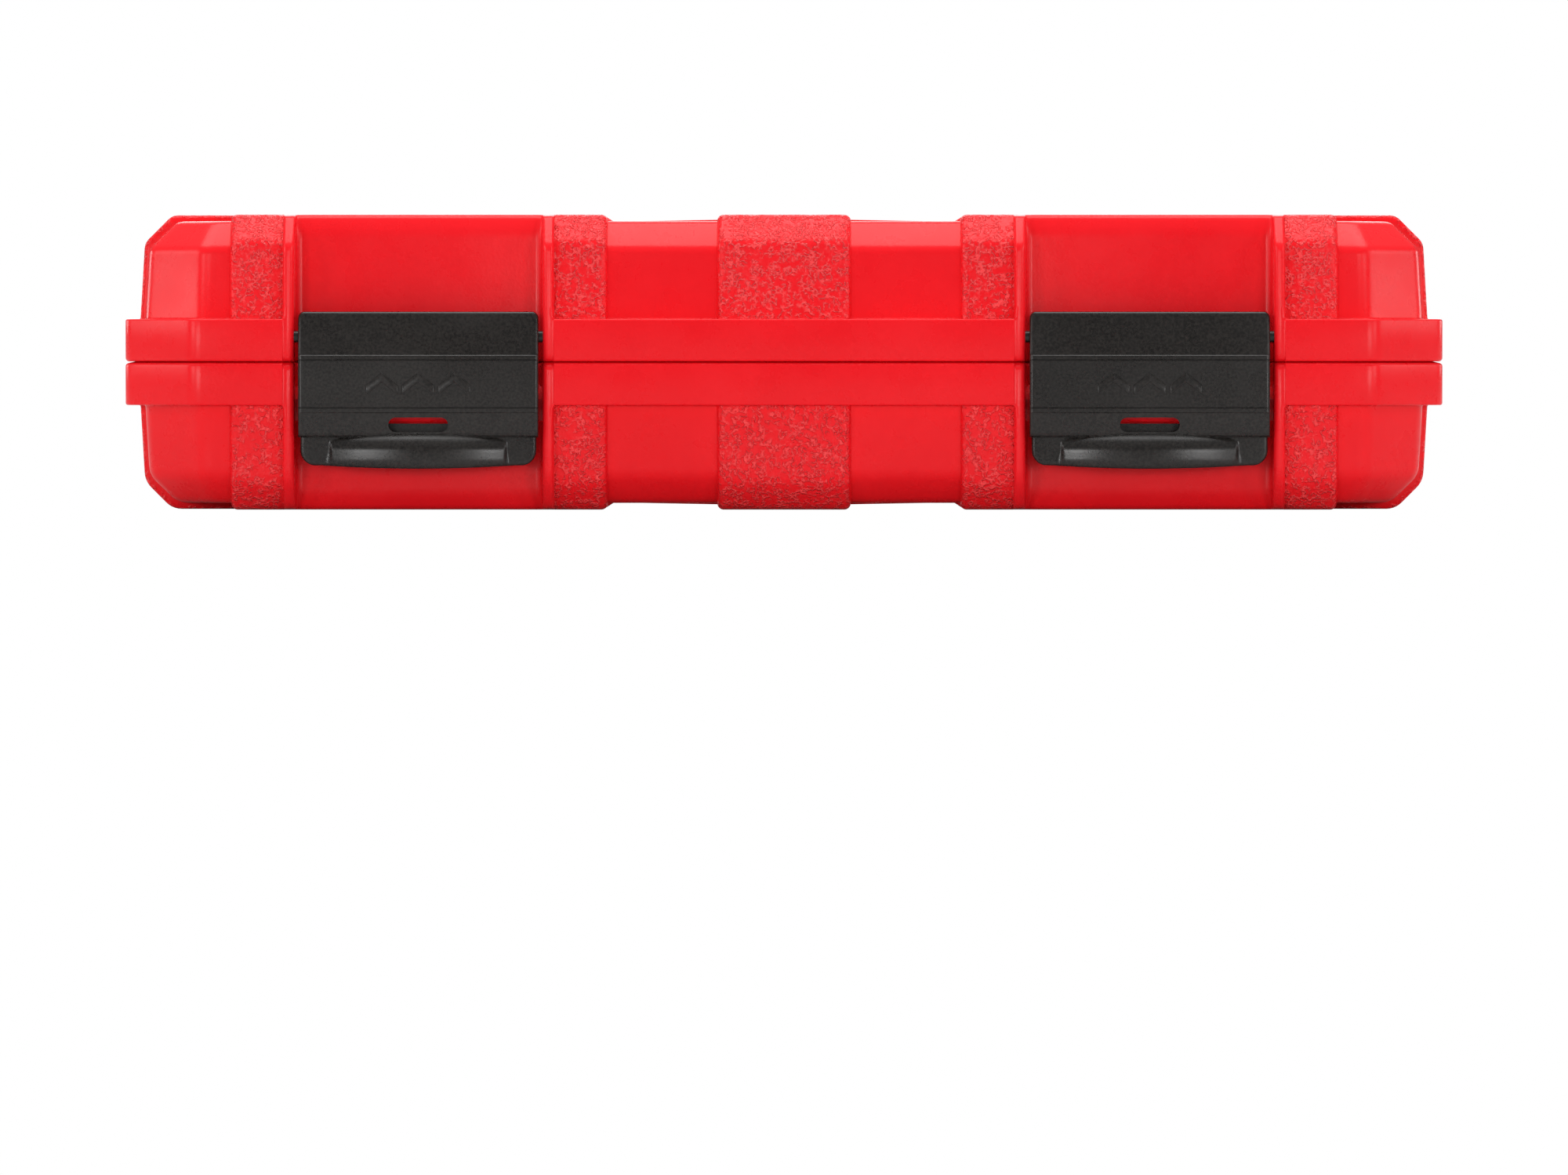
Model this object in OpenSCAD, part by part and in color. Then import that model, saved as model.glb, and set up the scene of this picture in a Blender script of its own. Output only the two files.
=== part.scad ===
// Socket wrench set in a moulded two-part case.
// Millimetres. +X runs to the right along the latch side, +Y to the hinge side, +Z up.
// The origin is under the middle of the whole set, on the surface that it rests on.
// Each case half is drawn in its own "half frame": z is the distance from the seam outwards.

/* [Case] */
// Width over the rim flange
case_w = 380; // [376:1:386]
// Depth over the rim flange
case_d = 230; // [229:0.5:234]
// Height of one half, from the seam to the outer face of its ribs
half_h = 42.5; // [42.2:0.1:44]
// Height of the rim flange on each half
flange_h = 12.4; // [11:0.2:13]
// How far the rim flange stands out from the smooth wall
flange_out = 4.9; // [4.6:0.1:5]
// How far the ribs stand out from the smooth wall
rib_out = 1.9; // [1.2:0.1:2]
// Width of one rib
rib_w = 38.5; // [36:0.5:40]
// Distance between rib centres
rib_pitch = 70; // [69.6:0.2:70.4]
// Distance between the rib centres on the two ends
end_rib_pitch = 62; // [60:1:64]
// Chamfer along the outer edges
edge_chamfer = 8; // [7:0.5:9]
// Corner cut of the rim flange, seen from above
corner_cut = 20; // [18:0.5:21]
// Thickness of the outer skins
skin = 2.2; // [2:0.1:2.4]

/* [Latches] */
// Width of one latch
latch_w = 69; // [67:0.5:69]
// Side gap between a latch and its recess
latch_gap = 1.2; // [1:0.1:1.5]
// Depth of the latch recess behind the flange face
recess_depth = 12.5; // [12.4:0.1:13]
// Height of the latch pivot over the seam
pivot_up = 7.3; // [7.1:0.1:7.4]
// How far the finger pull stands out from the flange face
pull_out = 3; // [2.6:0.1:3.4]

/* [Hinges] */
// Distance of each hinge from the middle of the case
hinge_x = 103; // [102:0.5:104]
// Length of one hinge knuckle
knuckle_l = 28.2; // [27:0.2:28.4]
// Outer radius of a knuckle
knuckle_r = 4.3; // [4:0.1:4.4]
// Radius of the steel hinge pins
pin_r = 1.5; // [1.3:0.1:1.6]
// Height of the rear feet over the flange face
foot_out = 9.6; // [9.4:0.1:9.6]

/* [Tools] */
// Side of the square drive
drive = 12.7; // [12.6:0.05:12.7]
// Number of teeth on the ratchet's gear
teeth = 36; // [36, 48, 72]

/* [Hidden] */
small_sizes = [for (size = [10:19]) size];
large_sizes = [20, 21, 22, 23, 24, 27, 30, 32];
plug_sizes = [16, 21];
$fn = 48;

// Case proportions
mid_y = (pull_out - foot_out) / 2;
front = mid_y - case_d / 2;
back = mid_y + case_d / 2;
seam_z = half_h;
seam_gap = 0.2;                 // half of the gap between the closed halves
draft = 0.058;                  // inward lean of the walls per millimetre of height
smooth_h = half_h - rib_out;    // height of a half between its ribs
span = 2 * case_w;              // longer than any part of the case
ledge = 2;                      // width of the step that a tray plate rests on
plate_gap = 2.2;                // gap between the seam and the face of a tray plate
plate_t = 2;
fit_gap = 0.1;
running_gap = 0.05;
hex_gap = 0.2;                  // how much wider than its nominal size a hexagon is

// Latch side
latch_x = 1.5 * rib_pitch;
recess_w = latch_w + 2 * latch_gap;
recess_floor = front + recess_depth;
recess_border = 3.3;
pivot_y = front + 3.7;
pivot_r = 1.7;
ridge_y = recess_floor - 6.9;
catch_gap = 0.3;

// Hand opening behind the grip bar, as [low, high] limits
hand_x = [-52, 52];
hand_y = [-92, -62];
hand_corner = 7;
hand_rim = 5;

// Hinge side
hinge_y = back + 5;
knuckle_gap = 0.4;
knuckle_pitch = knuckle_l + knuckle_gap;
knuckle_notch = 9.5;
foot_x = 111.5;

// Tray layout
tray_skin = 1.8;
pocket_gap = 0.6;               // clearance around a tool in its pocket
tool_z = 31;                    // height of the sockets' and bars' axes
roof_h = 13.8;                  // height of the liner's roof over the seam
row_span = case_w - 54;
small_row_y = 77;
large_row_y = 32;
bar_y = -5;
bar_x = [-118, 42, 127];        // left ends of the long bar, the short bar and the adapter
bar_l = [150, 75, 36];
bar_square = [drive, drive, 0.75 * drive];
bar_shank_r = [6.4, 6.4, 8];
bar_end_d = 22;
bay_x = 118;                    // middle of the bay at each side of the hand opening
bay_y = -82;
plug_l = 65;
bin_x = [104, 167];
bin_y = [-54, -20];
bin_floor = 12;
ratchet_pos = [-143, -35.5, 35];

// Ratchet, drawn with its head's middle at the origin and its handle along +X
head_r = 20;
head_h = 20;
neck_x = 34;
neck_r = 8.5;
cavity_r = 14;
cavity_z = [-7, 8];
cover_r = 18.3;
screw_r = 1.25;
screw_head_r = 1.9;
screw_ring_r = 16.1;            // distance of the cover's screws from the head's middle
hub_r = 9.4;
gear_r = 13.5;
tooth_h = 1.2;
drive_end_z = -26;
ball_r = 2.4;
ball_out = 0.7;                 // how far a ball stands out of its square
ball_z = -18;
stem_r = 3;
selector_x = 21;
selector_hub_r = 4;
pawl_post_r = 2;                // post in the head that the pawl and the selector turn round
pawl_h = 8.6;
pawl_pocket = [27, 7];          // far end and half-width of the pawl's pocket
grip_x = [112, 236];
grip_r = 15;
core_r = 5;
end_cap_l = 4;
square_depth = 16;              // depth of every square hole for the drive
plug_seat = [20, 48];           // where a spark plug socket's wide bore and its hexagon begin
insert_l = 12;
insert_wall = 2.4;

// ---------- Helpers ----------

// Extrudes a 2D shape drawn in Y and Z along X.
module along_x(length) {
    rotate([90, 0, 90]) linear_extrude(length, center = true) children();
}

// Distance of the case's 45 degree sides from its middle.
function diagonal(inset) = (case_w / 2 + case_d / 2 - corner_cut) / sqrt(2) - inset;

// Intersects a side profile, drawn for half-width $half, over the eight sides of the case.
module on_all_sides(inset) {
    sides = [
        [0, case_w / 2 - inset], [90, case_d / 2 - inset], [45, diagonal(inset)], [-45, diagonal(inset)]
    ];
    intersection_for (s = sides) {
        $half = s[1];
        translate([0, mid_y, 0]) rotate([0, 0, s[0]]) rotate([90, 0, 0])
            linear_extrude(span, center = true) children();
    }
}

// Cross-section of a half's wall, leaning inwards and chamfered at the top.
module wall_profile(top, low = seam_gap, chamfer = edge_chamfer) {
    lean = draft * (top - chamfer);
    polygon([
        [-$half, low], [$half, low], [$half - lean, top - chamfer], [$half - lean - chamfer, top],
        [-$half + lean + chamfer, top], [-$half + lean, top - chamfer]
    ]);
}

module box(x, y, z) {
    translate([x[0], y[0], z[0]]) cube([x[1] - x[0], y[1] - y[0], z[1] - z[0]]);
}

// Places a part drawn in the half frame on the lid or on the base.
module on_lid() translate([0, 0, seam_z]) children();
module on_base() translate([0, 0, seam_z]) mirror([0, 0, 1]) children();

// ---------- Case halves ----------

module flange() {
    seam_edge = 1.2;
    top_edge = 0.8;
    on_all_sides(0) polygon([
        [-$half + seam_edge, seam_gap], [$half - seam_edge, seam_gap], [$half, seam_gap + seam_edge],
        [$half, flange_h - top_edge], [$half - top_edge, flange_h], [-$half + top_edge, flange_h],
        [-$half, flange_h - top_edge], [-$half, seam_gap + seam_edge]
    ]);
}

// Plan of the ribs: five from front to back, three over each end, and a pad round each latch recess.
module rib_plan() {
    pad = recess_depth + 11;
    for (i = [-2:2]) translate([i * rib_pitch, 0]) square([rib_w, span], center = true);
    for (side = [-1, 1], i = [-1:1]) {
        translate([side * (2 * rib_pitch + span / 2), mid_y + i * end_rib_pitch])
            square([span, rib_w], center = true);
    }
    for (side = [-1, 1]) {
        translate([side * latch_x, front]) square([rib_pitch + rib_w, 2 * pad], center = true);
    }
}

module outer_half() {
    on_all_sides(flange_out) wall_profile(smooth_h);
    intersection() {
        on_all_sides(flange_out - rib_out) wall_profile(half_h);
        linear_extrude(span) rib_plan();
    }
    intersection() {
        on_all_sides(0.6) wall_profile(half_h);
        latch_recess(recess_border, half_h);
    }
    flange();
}

module latch_recess(grow, top) {
    for (side = [-1, 1]) {
        box([side * latch_x - recess_w / 2 - grow, side * latch_x + recess_w / 2 + grow],
            [front - 10, recess_floor + grow], [-1, top]);
    }
}

module hand_outline(grow) {
    x = hand_x[1] + grow;
    y = [hand_y[0] - grow, hand_y[1] + grow];
    cut = hand_corner;
    polygon([
        [-x + cut, y[0]], [x - cut, y[0]], [x, y[0] + cut], [x, y[1] - cut],
        [x - cut, y[1]], [-x + cut, y[1]], [-x, y[1] - cut], [-x, y[0] + cut]
    ]);
}

module hand_opening() {
    translate([0, 0, -1]) linear_extrude(half_h + 2) hand_outline(0);
    hull() {
        translate([0, 0, half_h - hand_rim]) linear_extrude(0.1) hand_outline(0);
        translate([0, 0, half_h + 1]) linear_extrude(0.1) hand_outline(hand_rim + 1);
    }
}

module inner_hollow() {
    difference() {
        union() {
            on_all_sides(flange_out + skin) wall_profile(smooth_h - skin, -1, edge_chamfer - 1);
            on_all_sides(flange_out + skin - ledge)
                translate([-$half, -1]) square([2 * $half, plate_gap + plate_t + 1]);
        }
        latch_recess(skin, span);
        translate([0, 0, -2]) linear_extrude(span) hand_outline(hand_rim + skin);
    }
}

// Rear foot: a wedge that tapers towards its outer face and away from the seam.
module foot(x) {
    root = 12;
    translate([x, back, 0]) rotate([90, 0, 0]) hull() {
        translate([0, 0, root]) linear_extrude(0.1)
            polygon([[-31, 9], [31, 9], [31, 37.5], [-31, 37.5]]);
        translate([0, 0, -foot_out]) linear_extrude(0.1) polygon([
            [-26, 7], [26, 7], [28, 9], [24, 30.5], [21, 33], [-21, 33], [-24, 30.5], [-28, 9]
        ]);
    }
}

// Cylinders round the hinge axis, for the knuckles at the given places along each hinge.
module hinge_barrels(places, r, extra = 0) {
    for (side = [-1, 1], i = places) {
        translate([side * hinge_x + i * knuckle_pitch, hinge_y, 0]) rotate([0, 90, 0])
            cylinder(r = r, h = knuckle_l + extra, center = true);
    }
}

// A knuckle's web to its own half, with the tab below it and the window opposite.
module knuckle_webs(places) {
    for (side = [-1, 1], i = places) {
        x = side * hinge_x + i * knuckle_pitch;
        box([x - knuckle_l / 2, x + knuckle_l / 2], [back - 3, hinge_y + 2.2], [0, 3.4]);
        box([x - knuckle_notch / 2, x + knuckle_notch / 2], [back - 3, hinge_y + 1.4], [3, 6.2]);
    }
}

module knuckle_windows(places) {
    for (side = [-1, 1], i = places) {
        x = side * hinge_x + i * knuckle_pitch;
        box([x - knuckle_notch / 2, x + knuckle_notch / 2], [back - 8, hinge_y + 8], [-8, -pin_r - 0.6]);
    }
}

// One moulded half, with its feet as children and its knuckles at the given places.
module case_half(places, bore_r) {
    difference() {
        union() {
            difference() {
                union() {
                    outer_half();
                    children();
                }
                inner_hollow();
                latch_recess(0, span);
                hand_opening();
            }
            hinge_barrels(places, knuckle_r);
            knuckle_webs(places);
        }
        knuckle_windows(places);
        hinge_barrels(places, bore_r, 2);
    }
}

// Ridge on the recess floor that a latch snaps over.
module catch_ridges() {
    low = 9;
    high = 17.2;
    for (side = [-1, 1]) translate([side * latch_x, 0, 0]) along_x(recess_w + 2) polygon([
        [recess_floor + 1, low - 3], [ridge_y, low + 2], [ridge_y, high - 1], [ridge_y + 1, high],
        [recess_floor + 1, high]
    ]);
}

module base_shell() {
    color("red") on_base() {
        case_half([-1, 1], pin_r) for (side = [-1, 1]) foot(side * foot_x);
        catch_ridges();
    }
}

module lid_shell() {
    color("red") on_lid() difference() {
        case_half([0], pin_r + running_gap) foot(0);
        for (side = [-1, 1]) translate([side * latch_x, pivot_y, pivot_up]) rotate([0, 90, 0])
            cylinder(r = pivot_r + running_gap, h = recess_w + 10, center = true);
    }
}

module hinge_pin(side) {
    color("silver") translate([side * hinge_x, hinge_y, seam_z]) rotate([0, 90, 0])
        cylinder(r = pin_r, h = 3 * knuckle_pitch - 1, center = true);
}

// ---------- Trays ----------

function socket_d(size) = max(22, 1.32 * size + 1.2);
function socket_l(size) = size < 20 ? 38 : size < 27 ? 40 : size < 30 ? 42 : 44;
function sum_to(list, i) = i < 0 ? 0 : list[i] + sum_to(list, i - 1);

// Place of socket number i in a row that fills row_span.
function row_x(sizes, i) =
    let (widths = [for (s = sizes) socket_d(s)])
    let (gap = (row_span - sum_to(widths, len(sizes) - 1)) / (len(sizes) - 1))
    -row_span / 2 + sum_to(widths, i - 1) + widths[i] / 2 + i * gap;

function plug_d(size) = socket_d(size) + 1;

// A trough for a tool that lies along X or Y, open to the top.
module trough(pos, d, length, grow, top, turn = 0) {
    r = d / 2 + grow;
    translate(pos) rotate([0, 0, turn]) {
        rotate([0, 90, 0]) cylinder(r = r, h = length + 2 * grow, center = true);
        box([-length / 2 - grow, length / 2 + grow], [-r, r], [0, top - pos[2]]);
    }
}

module ratchet_pocket(grow, top) {
    translate(ratchet_pos) {
        z = top - ratchet_pos[2];
        head = -head_h / 2 - grow;
        shoulder = 16;
        translate([0, 0, head]) cylinder(r = head_r + grow, h = z - head);
        translate([0, 0, drive_end_z - grow]) cylinder(r = hub_r + grow + 0.5, h = 20);
        box([0, neck_x + grow], [-shoulder - grow, shoulder + grow], [head, z]);
        box([0, grip_x[1]], [-neck_r - grow, neck_r + grow], [-neck_r - grow, z]);
    }
    grip_end = grip_x[1] + end_cap_l;
    middle = (grip_x[0] + grip_end) / 2;
    trough(ratchet_pos + [middle, 0, 0], 2 * grip_r, grip_end - grip_x[0], grow, top);
}

// All the tray's pockets, enlarged by grow, up to the height top.
module pockets(grow, top) {
    rows = [[small_sizes, small_row_y], [large_sizes, large_row_y]];
    for (row = rows) {
        for (i = [0:len(row[0]) - 1]) {
            size = row[0][i];
            trough([row_x(row[0], i), row[1], tool_z], socket_d(size), socket_l(size), grow, top, 90);
        }
        box([-row_span / 2, row_span / 2], [row[1] - 9 - grow, row[1] + 9 + grow], [tool_z + 2 - grow, top]);
    }
    for (i = [0:2]) trough([bar_x[i] + bar_l[i] / 2, bar_y, tool_z], bar_end_d, bar_l[i] + 1, grow, top);
    for (i = [0, 1]) {
        trough([(2 * i - 1) * bay_x, bay_y, tool_z], plug_d(plug_sizes[i]), plug_l, grow, top);
    }
    ratchet_pocket(grow, top);
    box([bin_x[0] - grow, bin_x[1] + grow], [bin_y[0] - grow, bin_y[1] + grow], [bin_floor - grow, top]);
}

// The flat plate of a tray, in the half frame.
module tray_plate() {
    difference() {
        on_all_sides(flange_out + skin - ledge + fit_gap)
            translate([-$half, plate_gap]) square([2 * $half, plate_t]);
        latch_recess(skin + fit_gap, span);
        translate([0, 0, -2]) linear_extrude(span) hand_outline(hand_rim + skin + fit_gap);
    }
}

module base_tray() {
    face = seam_z - plate_gap;
    color("red") difference() {
        union() {
            on_base() tray_plate();
            intersection() {
                pockets(pocket_gap + tray_skin, face);
                box([-case_w, case_w], [-case_d, case_d], [0, face]);
            }
        }
        pockets(pocket_gap, face + 20);
    }
}

// Rooms in the lid's liner over the tools, enlarged by grow.
module liner_rooms(grow, top) {
    box([-168 - grow, 168 + grow], [-57 - grow, 98 + grow], [0, top]);
    for (side = [-1, 1]) {
        x = [side * 119 - 51 - grow, side * 119 + 51 + grow];
        box(x, [-98.5 - grow, -50], [0, top]);
    }
}

module lid_liner() {
    color("red") on_lid() difference() {
        union() {
            tray_plate();
            difference() {
                liner_rooms(tray_skin, roof_h + tray_skin);
                translate([0, 0, -span + plate_gap]) box([-span, span], [-span, span], [0, span]);
            }
        }
        liner_rooms(0, roof_h);
    }
}

// ---------- Latches ----------

// The latch's parts are drawn at x = 0, with z measured from the seam.
module latch_plate() {
    y = front;
    barrel_r = 3.2;
    along_x(latch_w) polygon([
        [y + 1, 14.5], [y - 0.2, 3], [y - 0.9, 1.9], [y - 0.9, -12.6], [y - 0.4, -13.2], [y, -21.7],
        [y + 2.6, -21.7], [y + 2.1, -13.2], [y + 1.8, 1.9], [y + 3.6, 14.5]
    ]);
    translate([0, pivot_y, pivot_up]) rotate([0, 90, 0]) {
        cylinder(r = barrel_r, h = latch_w, center = true);
        cylinder(r = pivot_r, h = recess_w + 8.6, center = true);
    }
}

// The hook's nose faces the catch ridge across the catch gap.
module latch_hook() {
    nose = ridge_y - catch_gap;
    along_x(latch_w - 6) polygon([
        [front + 1, -17.5], [nose, -17.5], [nose, -18.4], [nose - 2, -20.6], [front + 1, -20.6]
    ]);
}

module latch_tab() {
    half = latch_w / 2 - 0.75;
    low = -30.2;
    r = 3.7;
    translate([0, front + 4.2, 0]) rotate([90, 0, 0]) linear_extrude(2.6) polygon(concat(
        [[-half, -20.5], [-half, low + r]],
        [for (a = [195:15:270]) [-half + r + r * cos(a), low + r + r * sin(a)]],
        [for (a = [270:15:345]) [half - r + r * cos(a), low + r + r * sin(a)]],
        [[half, low + r], [half, -20.5]]
    ));
}

// The bowed finger pull, made smaller by inset for the finger space behind it.
module latch_pull(inset) {
    bow_r = 90;
    half = 25.1 - inset;
    intersection() {
        translate([0, front - pull_out + bow_r, -40]) cylinder(r = bow_r - inset, h = 30, $fn = 128);
        box([-half, half], [front - 10, front + 4.2 + inset], [-30.6 - inset, -20.4 - inset]);
    }
}

module latch(side) {
    slot = [17.1, 4.2];
    wall = 2.4;
    color([0.1, 0.1, 0.1]) translate([side * latch_x, 0, seam_z]) difference() {
        union() {
            latch_plate();
            latch_hook();
            difference() {
                union() {
                    latch_tab();
                    latch_pull(0);
                }
                latch_pull(wall);
            }
        }
        box([-slot[0] / 2, slot[0] / 2], [front - 2, front + 3.2], [-15.9 - slot[1], -15.9]);
    }
}

// ---------- Ratchet ----------

// Outline of the head and neck, made smaller by inset.
module head_outline(inset) {
    circle(r = head_r - inset);
    polygon([
        [0, -head_r + inset], [neck_x - inset, -neck_r + inset], [neck_x - inset, neck_r - inset],
        [0, head_r - inset]
    ]);
}

module cover_outline(inset) {
    circle(r = cover_r - inset);
    translate([0, -8 + inset]) square([28 - inset, 16 - 2 * inset]);
}

module screw_places() {
    for (a = [100, 180, 260]) rotate([0, 0, a]) translate([screw_ring_r, 0, 0]) children();
}

module ratchet_body() {
    color("silver") translate(ratchet_pos) difference() {
        union() {
            translate([0, 0, -head_h / 2]) linear_extrude(head_h) head_outline(0);
            translate([20, 0, 0]) rotate([0, 90, 0]) cylinder(r = neck_r, h = grip_x[0] - 20);
            translate([grip_x[0] - 1, 0, 0]) rotate([0, 90, 0])
                cylinder(r = core_r, h = grip_x[1] - grip_x[0] + 1);
        }
        difference() {
            translate([0, 0, cavity_z[0]]) union() {
                cylinder(r = cavity_r, h = head_h);
                translate([0, -pawl_pocket[1], 0]) cube([pawl_pocket[0], 2 * pawl_pocket[1], head_h]);
            }
            translate([selector_x, 0, cavity_z[0] - 1]) cylinder(r = pawl_post_r, h = 9);
        }
        translate([0, 0, cavity_z[1]]) linear_extrude(head_h) cover_outline(-fit_gap);
        translate([0, 0, -head_h]) cylinder(r = hub_r + running_gap, h = 2 * head_h);
        translate([pawl_pocket[0] - 1, 0, -2]) rotate([0, 90, 0]) cylinder(r = 1.7, h = 8);
        screw_places() cylinder(r = screw_r, h = head_h);
    }
}

module ratchet_cover() {
    color("silver") translate(ratchet_pos) difference() {
        translate([0, 0, cavity_z[1]]) linear_extrude(head_h / 2 - cavity_z[1]) cover_outline(0);
        cylinder(r = hub_r + running_gap, h = head_h);
        translate([selector_x, 0, 0]) cylinder(r = selector_hub_r + running_gap, h = head_h);
        screw_places() cylinder(r = screw_r, h = head_h);
        screw_places() translate([0, 0, head_h / 2 - 1]) cylinder(r = screw_head_r, h = 5);
    }
}

module cover_screws() {
    color("gray") translate(ratchet_pos) screw_places() difference() {
        union() {
            translate([0, 0, 1.5]) cylinder(r = screw_r, h = head_h / 2 - 1.5);
            translate([0, 0, head_h / 2 - 1]) cylinder(r = screw_head_r, h = 1);
        }
        translate([0, 0, head_h / 2 - 0.6]) cylinder(r = 0.9, h = 1, $fn = 6);
    }
}

module ratchet_grip() {
    waist = 1.6;
    color([0.1, 0.1, 0.1]) translate(ratchet_pos) rotate([0, 90, 0]) rotate_extrude() polygon([
        [core_r, grip_x[0]], [grip_r - 4, grip_x[0]], [grip_r - 1, grip_x[0] + 4],
        [grip_r, grip_x[0] + 14], [grip_r - waist, grip_x[0] + 34], [grip_r - waist, grip_x[1] - 50],
        [grip_r, grip_x[1] - 16], [grip_r, grip_x[1]], [core_r, grip_x[1]]
    ]);
}

module ratchet_end_cap() {
    color("silver") translate(ratchet_pos + [grip_x[1], 0, 0]) rotate([0, 90, 0])
        cylinder(r = grip_r - 2, h = end_cap_l);
}

// Tooth tips and roots in turn, all the way round.
function gear_outline(r) = [for (i = [0:2 * teeth - 1])
    let (a = 180 * i / teeth, q = r - (i % 2) * tooth_h) [q * cos(a), q * sin(a)]];

module drive_gear() {
    gap = running_gap;
    color("silver") translate(ratchet_pos) difference() {
        union() {
            translate([0, 0, cavity_z[0] + gap]) linear_extrude(cavity_z[1] - cavity_z[0] - 2 * gap)
                polygon(gear_outline(gear_r));
            translate([0, 0, -head_h / 2 - 0.4]) cylinder(r = hub_r, h = head_h + 0.8);
            translate([-drive / 2, -drive / 2, drive_end_z]) cube([drive, drive, 20]);
        }
        translate([0, 0, drive_end_z + 5]) cylinder(r = stem_r + running_gap, h = span);
        translate([0, 0, 3]) cylinder(r = 5, h = span);
        translate([0, 0, ball_z]) rotate([-90, 0, 0]) cylinder(r = ball_r + running_gap, h = drive);
    }
}

module drive_ball() {
    color("silver") translate(ratchet_pos + [0, drive / 2 + ball_out - ball_r, ball_z]) sphere(r = ball_r);
}

module release_button() {
    cap_z = head_h / 2 + 2.2;
    color("silver") translate(ratchet_pos) difference() {
        union() {
            translate([0, 0, drive_end_z + 7]) cylinder(r = stem_r, h = cap_z - drive_end_z - 7);
            translate([0, 0, cap_z - 2]) cylinder(r = 4.9, h = 3);
        }
        translate([0, stem_r + 1, ball_z + 2]) sphere(r = ball_r + 1.5);
    }
}

// A helical spring along Z from z = 0, as one swept tube.
module coil(r, wire, length, turns) {
    sides = 6;
    steps = 12 * turns;
    function ring(k) = [for (j = [0:sides - 1])
        let (a = 360 * k / 12, b = 360 * j / sides, q = r + wire / 2 * cos(b))
        [q * cos(a), q * sin(a), wire / 2 + (length - wire) * k / steps + wire / 2 * sin(b)]];
    points = [for (k = [0:steps]) each ring(k)];
    polyhedron(points, concat(
        [[for (j = [0:sides - 1]) j]],
        [for (k = [0:steps - 1], j = [0:sides - 1]) let (n = (j + 1) % sides)
            [k * sides + j, (k + 1) * sides + j, (k + 1) * sides + n, k * sides + n]],
        [[for (j = [sides - 1:-1:0]) steps * sides + j]]
    ), convexity = 4);
}

module button_spring() {
    color("gray") translate(ratchet_pos + [0, 0, 3]) coil(4, 0.9, 7.1, 4);
}

module selector_lever() {
    color("silver") translate(ratchet_pos + [selector_x, 0, 0]) rotate([0, 0, 30]) {
        translate([0, 0, 3]) cylinder(r = selector_hub_r, h = head_h / 2 - 3);
        translate([0, 0, head_h / 2 + 0.2]) linear_extrude(2.8) {
            circle(r = 6);
            polygon([[0, -6], [12, -3.4], [14, -2], [14, 2], [12, 3.4], [0, 6]]);
        }
        translate([0, 0, head_h / 2 - 0.5]) cylinder(r = 3.8, h = 1);
    }
}

module ratchet_pawl() {
    color("gray") translate(ratchet_pos + [selector_x, 0, 0]) rotate([0, 0, 6]) difference() {
        translate([0, 0, cavity_z[0] + running_gap]) linear_extrude(pawl_h) difference() {
            polygon([[-7, -5.4], [3, -4], [4, 0], [3, 4], [-7, 5.4]]);
            circle(r = pawl_post_r + running_gap);
        }
        translate([-selector_x, 0, -10]) cylinder(r = gear_r + 1.1, h = head_h);
    }
}

module pawl_spring() {
    color("gray") translate(ratchet_pos + [pawl_pocket[0] - 1.8, 0, -2]) rotate([0, 90, 0])
        coil(1.15, 0.5, 7.6, 6);
}

// ---------- Bars, adapter and sockets ----------

// A bar along X from x = 0: a square hole in its left end, a square peg with a ball at its right end.
module drive_bar(length, side, shank_r) {
    end_l = 22;
    peg = 15 * side / drive;
    difference() {
        union() {
            rotate([0, 90, 0]) cylinder(d = bar_end_d, h = end_l);
            rotate([0, 90, 0]) cylinder(r = shank_r, h = length - peg);
            translate([length - peg - 1, -side / 2, -side / 2]) cube([peg + 1, side, side]);
        }
        square_hole(square_depth);
        translate([length - peg / 2, 0, 0]) cylinder(r = ball_r * side / drive + running_gap, h = drive);
    }
}

// A square hole for the drive, cut from x = 0 inwards.
module square_hole(depth) {
    side = drive + 0.15;
    translate([-1, -side / 2, -side / 2]) cube([depth + 1, side, side]);
}

module bar_place(i) translate([bar_x[i], bar_y, tool_z]) children();

module bar(i) {
    color("silver") bar_place(i) drive_bar(bar_l[i], bar_square[i], bar_shank_r[i]);
}

module bar_ball(i) {
    side = bar_square[i];
    r = ball_r * side / drive;
    color("silver") bar_place(i) translate([bar_l[i] - 7.5 * side / drive, 0, side / 2 + ball_out - r])
        sphere(r = r);
}

// Radius of the hole that joins a socket's two ends.
function bore_r(size) = min(6, 0.45 * size);

// A socket along X, with its square hole at the left end and its hexagon at the right end.
module socket_body(size, length) {
    d = socket_d(size);
    nose_d = min(d, 1.32 * size + 2.3);
    hex_r = (size + hex_gap) / sqrt(3);
    rotate([0, 90, 0]) difference() {
        union() {
            cylinder(d = d, h = length * 0.6);
            cylinder(d = nose_d, h = length);
        }
        translate([0, 0, length * 0.52]) cylinder(r = hex_r, h = length, $fn = 6);
        cylinder(r = bore_r(size), h = length);
        rotate([0, -90, 0]) square_hole(square_depth);
    }
}

module socket(sizes, i, y) {
    length = socket_l(sizes[i]);
    color("silver") translate([row_x(sizes, i), y - length / 2, tool_z]) rotate([0, 0, 90])
        socket_body(sizes[i], length);
}

module plug_place(i) translate([(2 * i - 1) * bay_x - plug_l / 2, bay_y, tool_z]) children();

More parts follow.
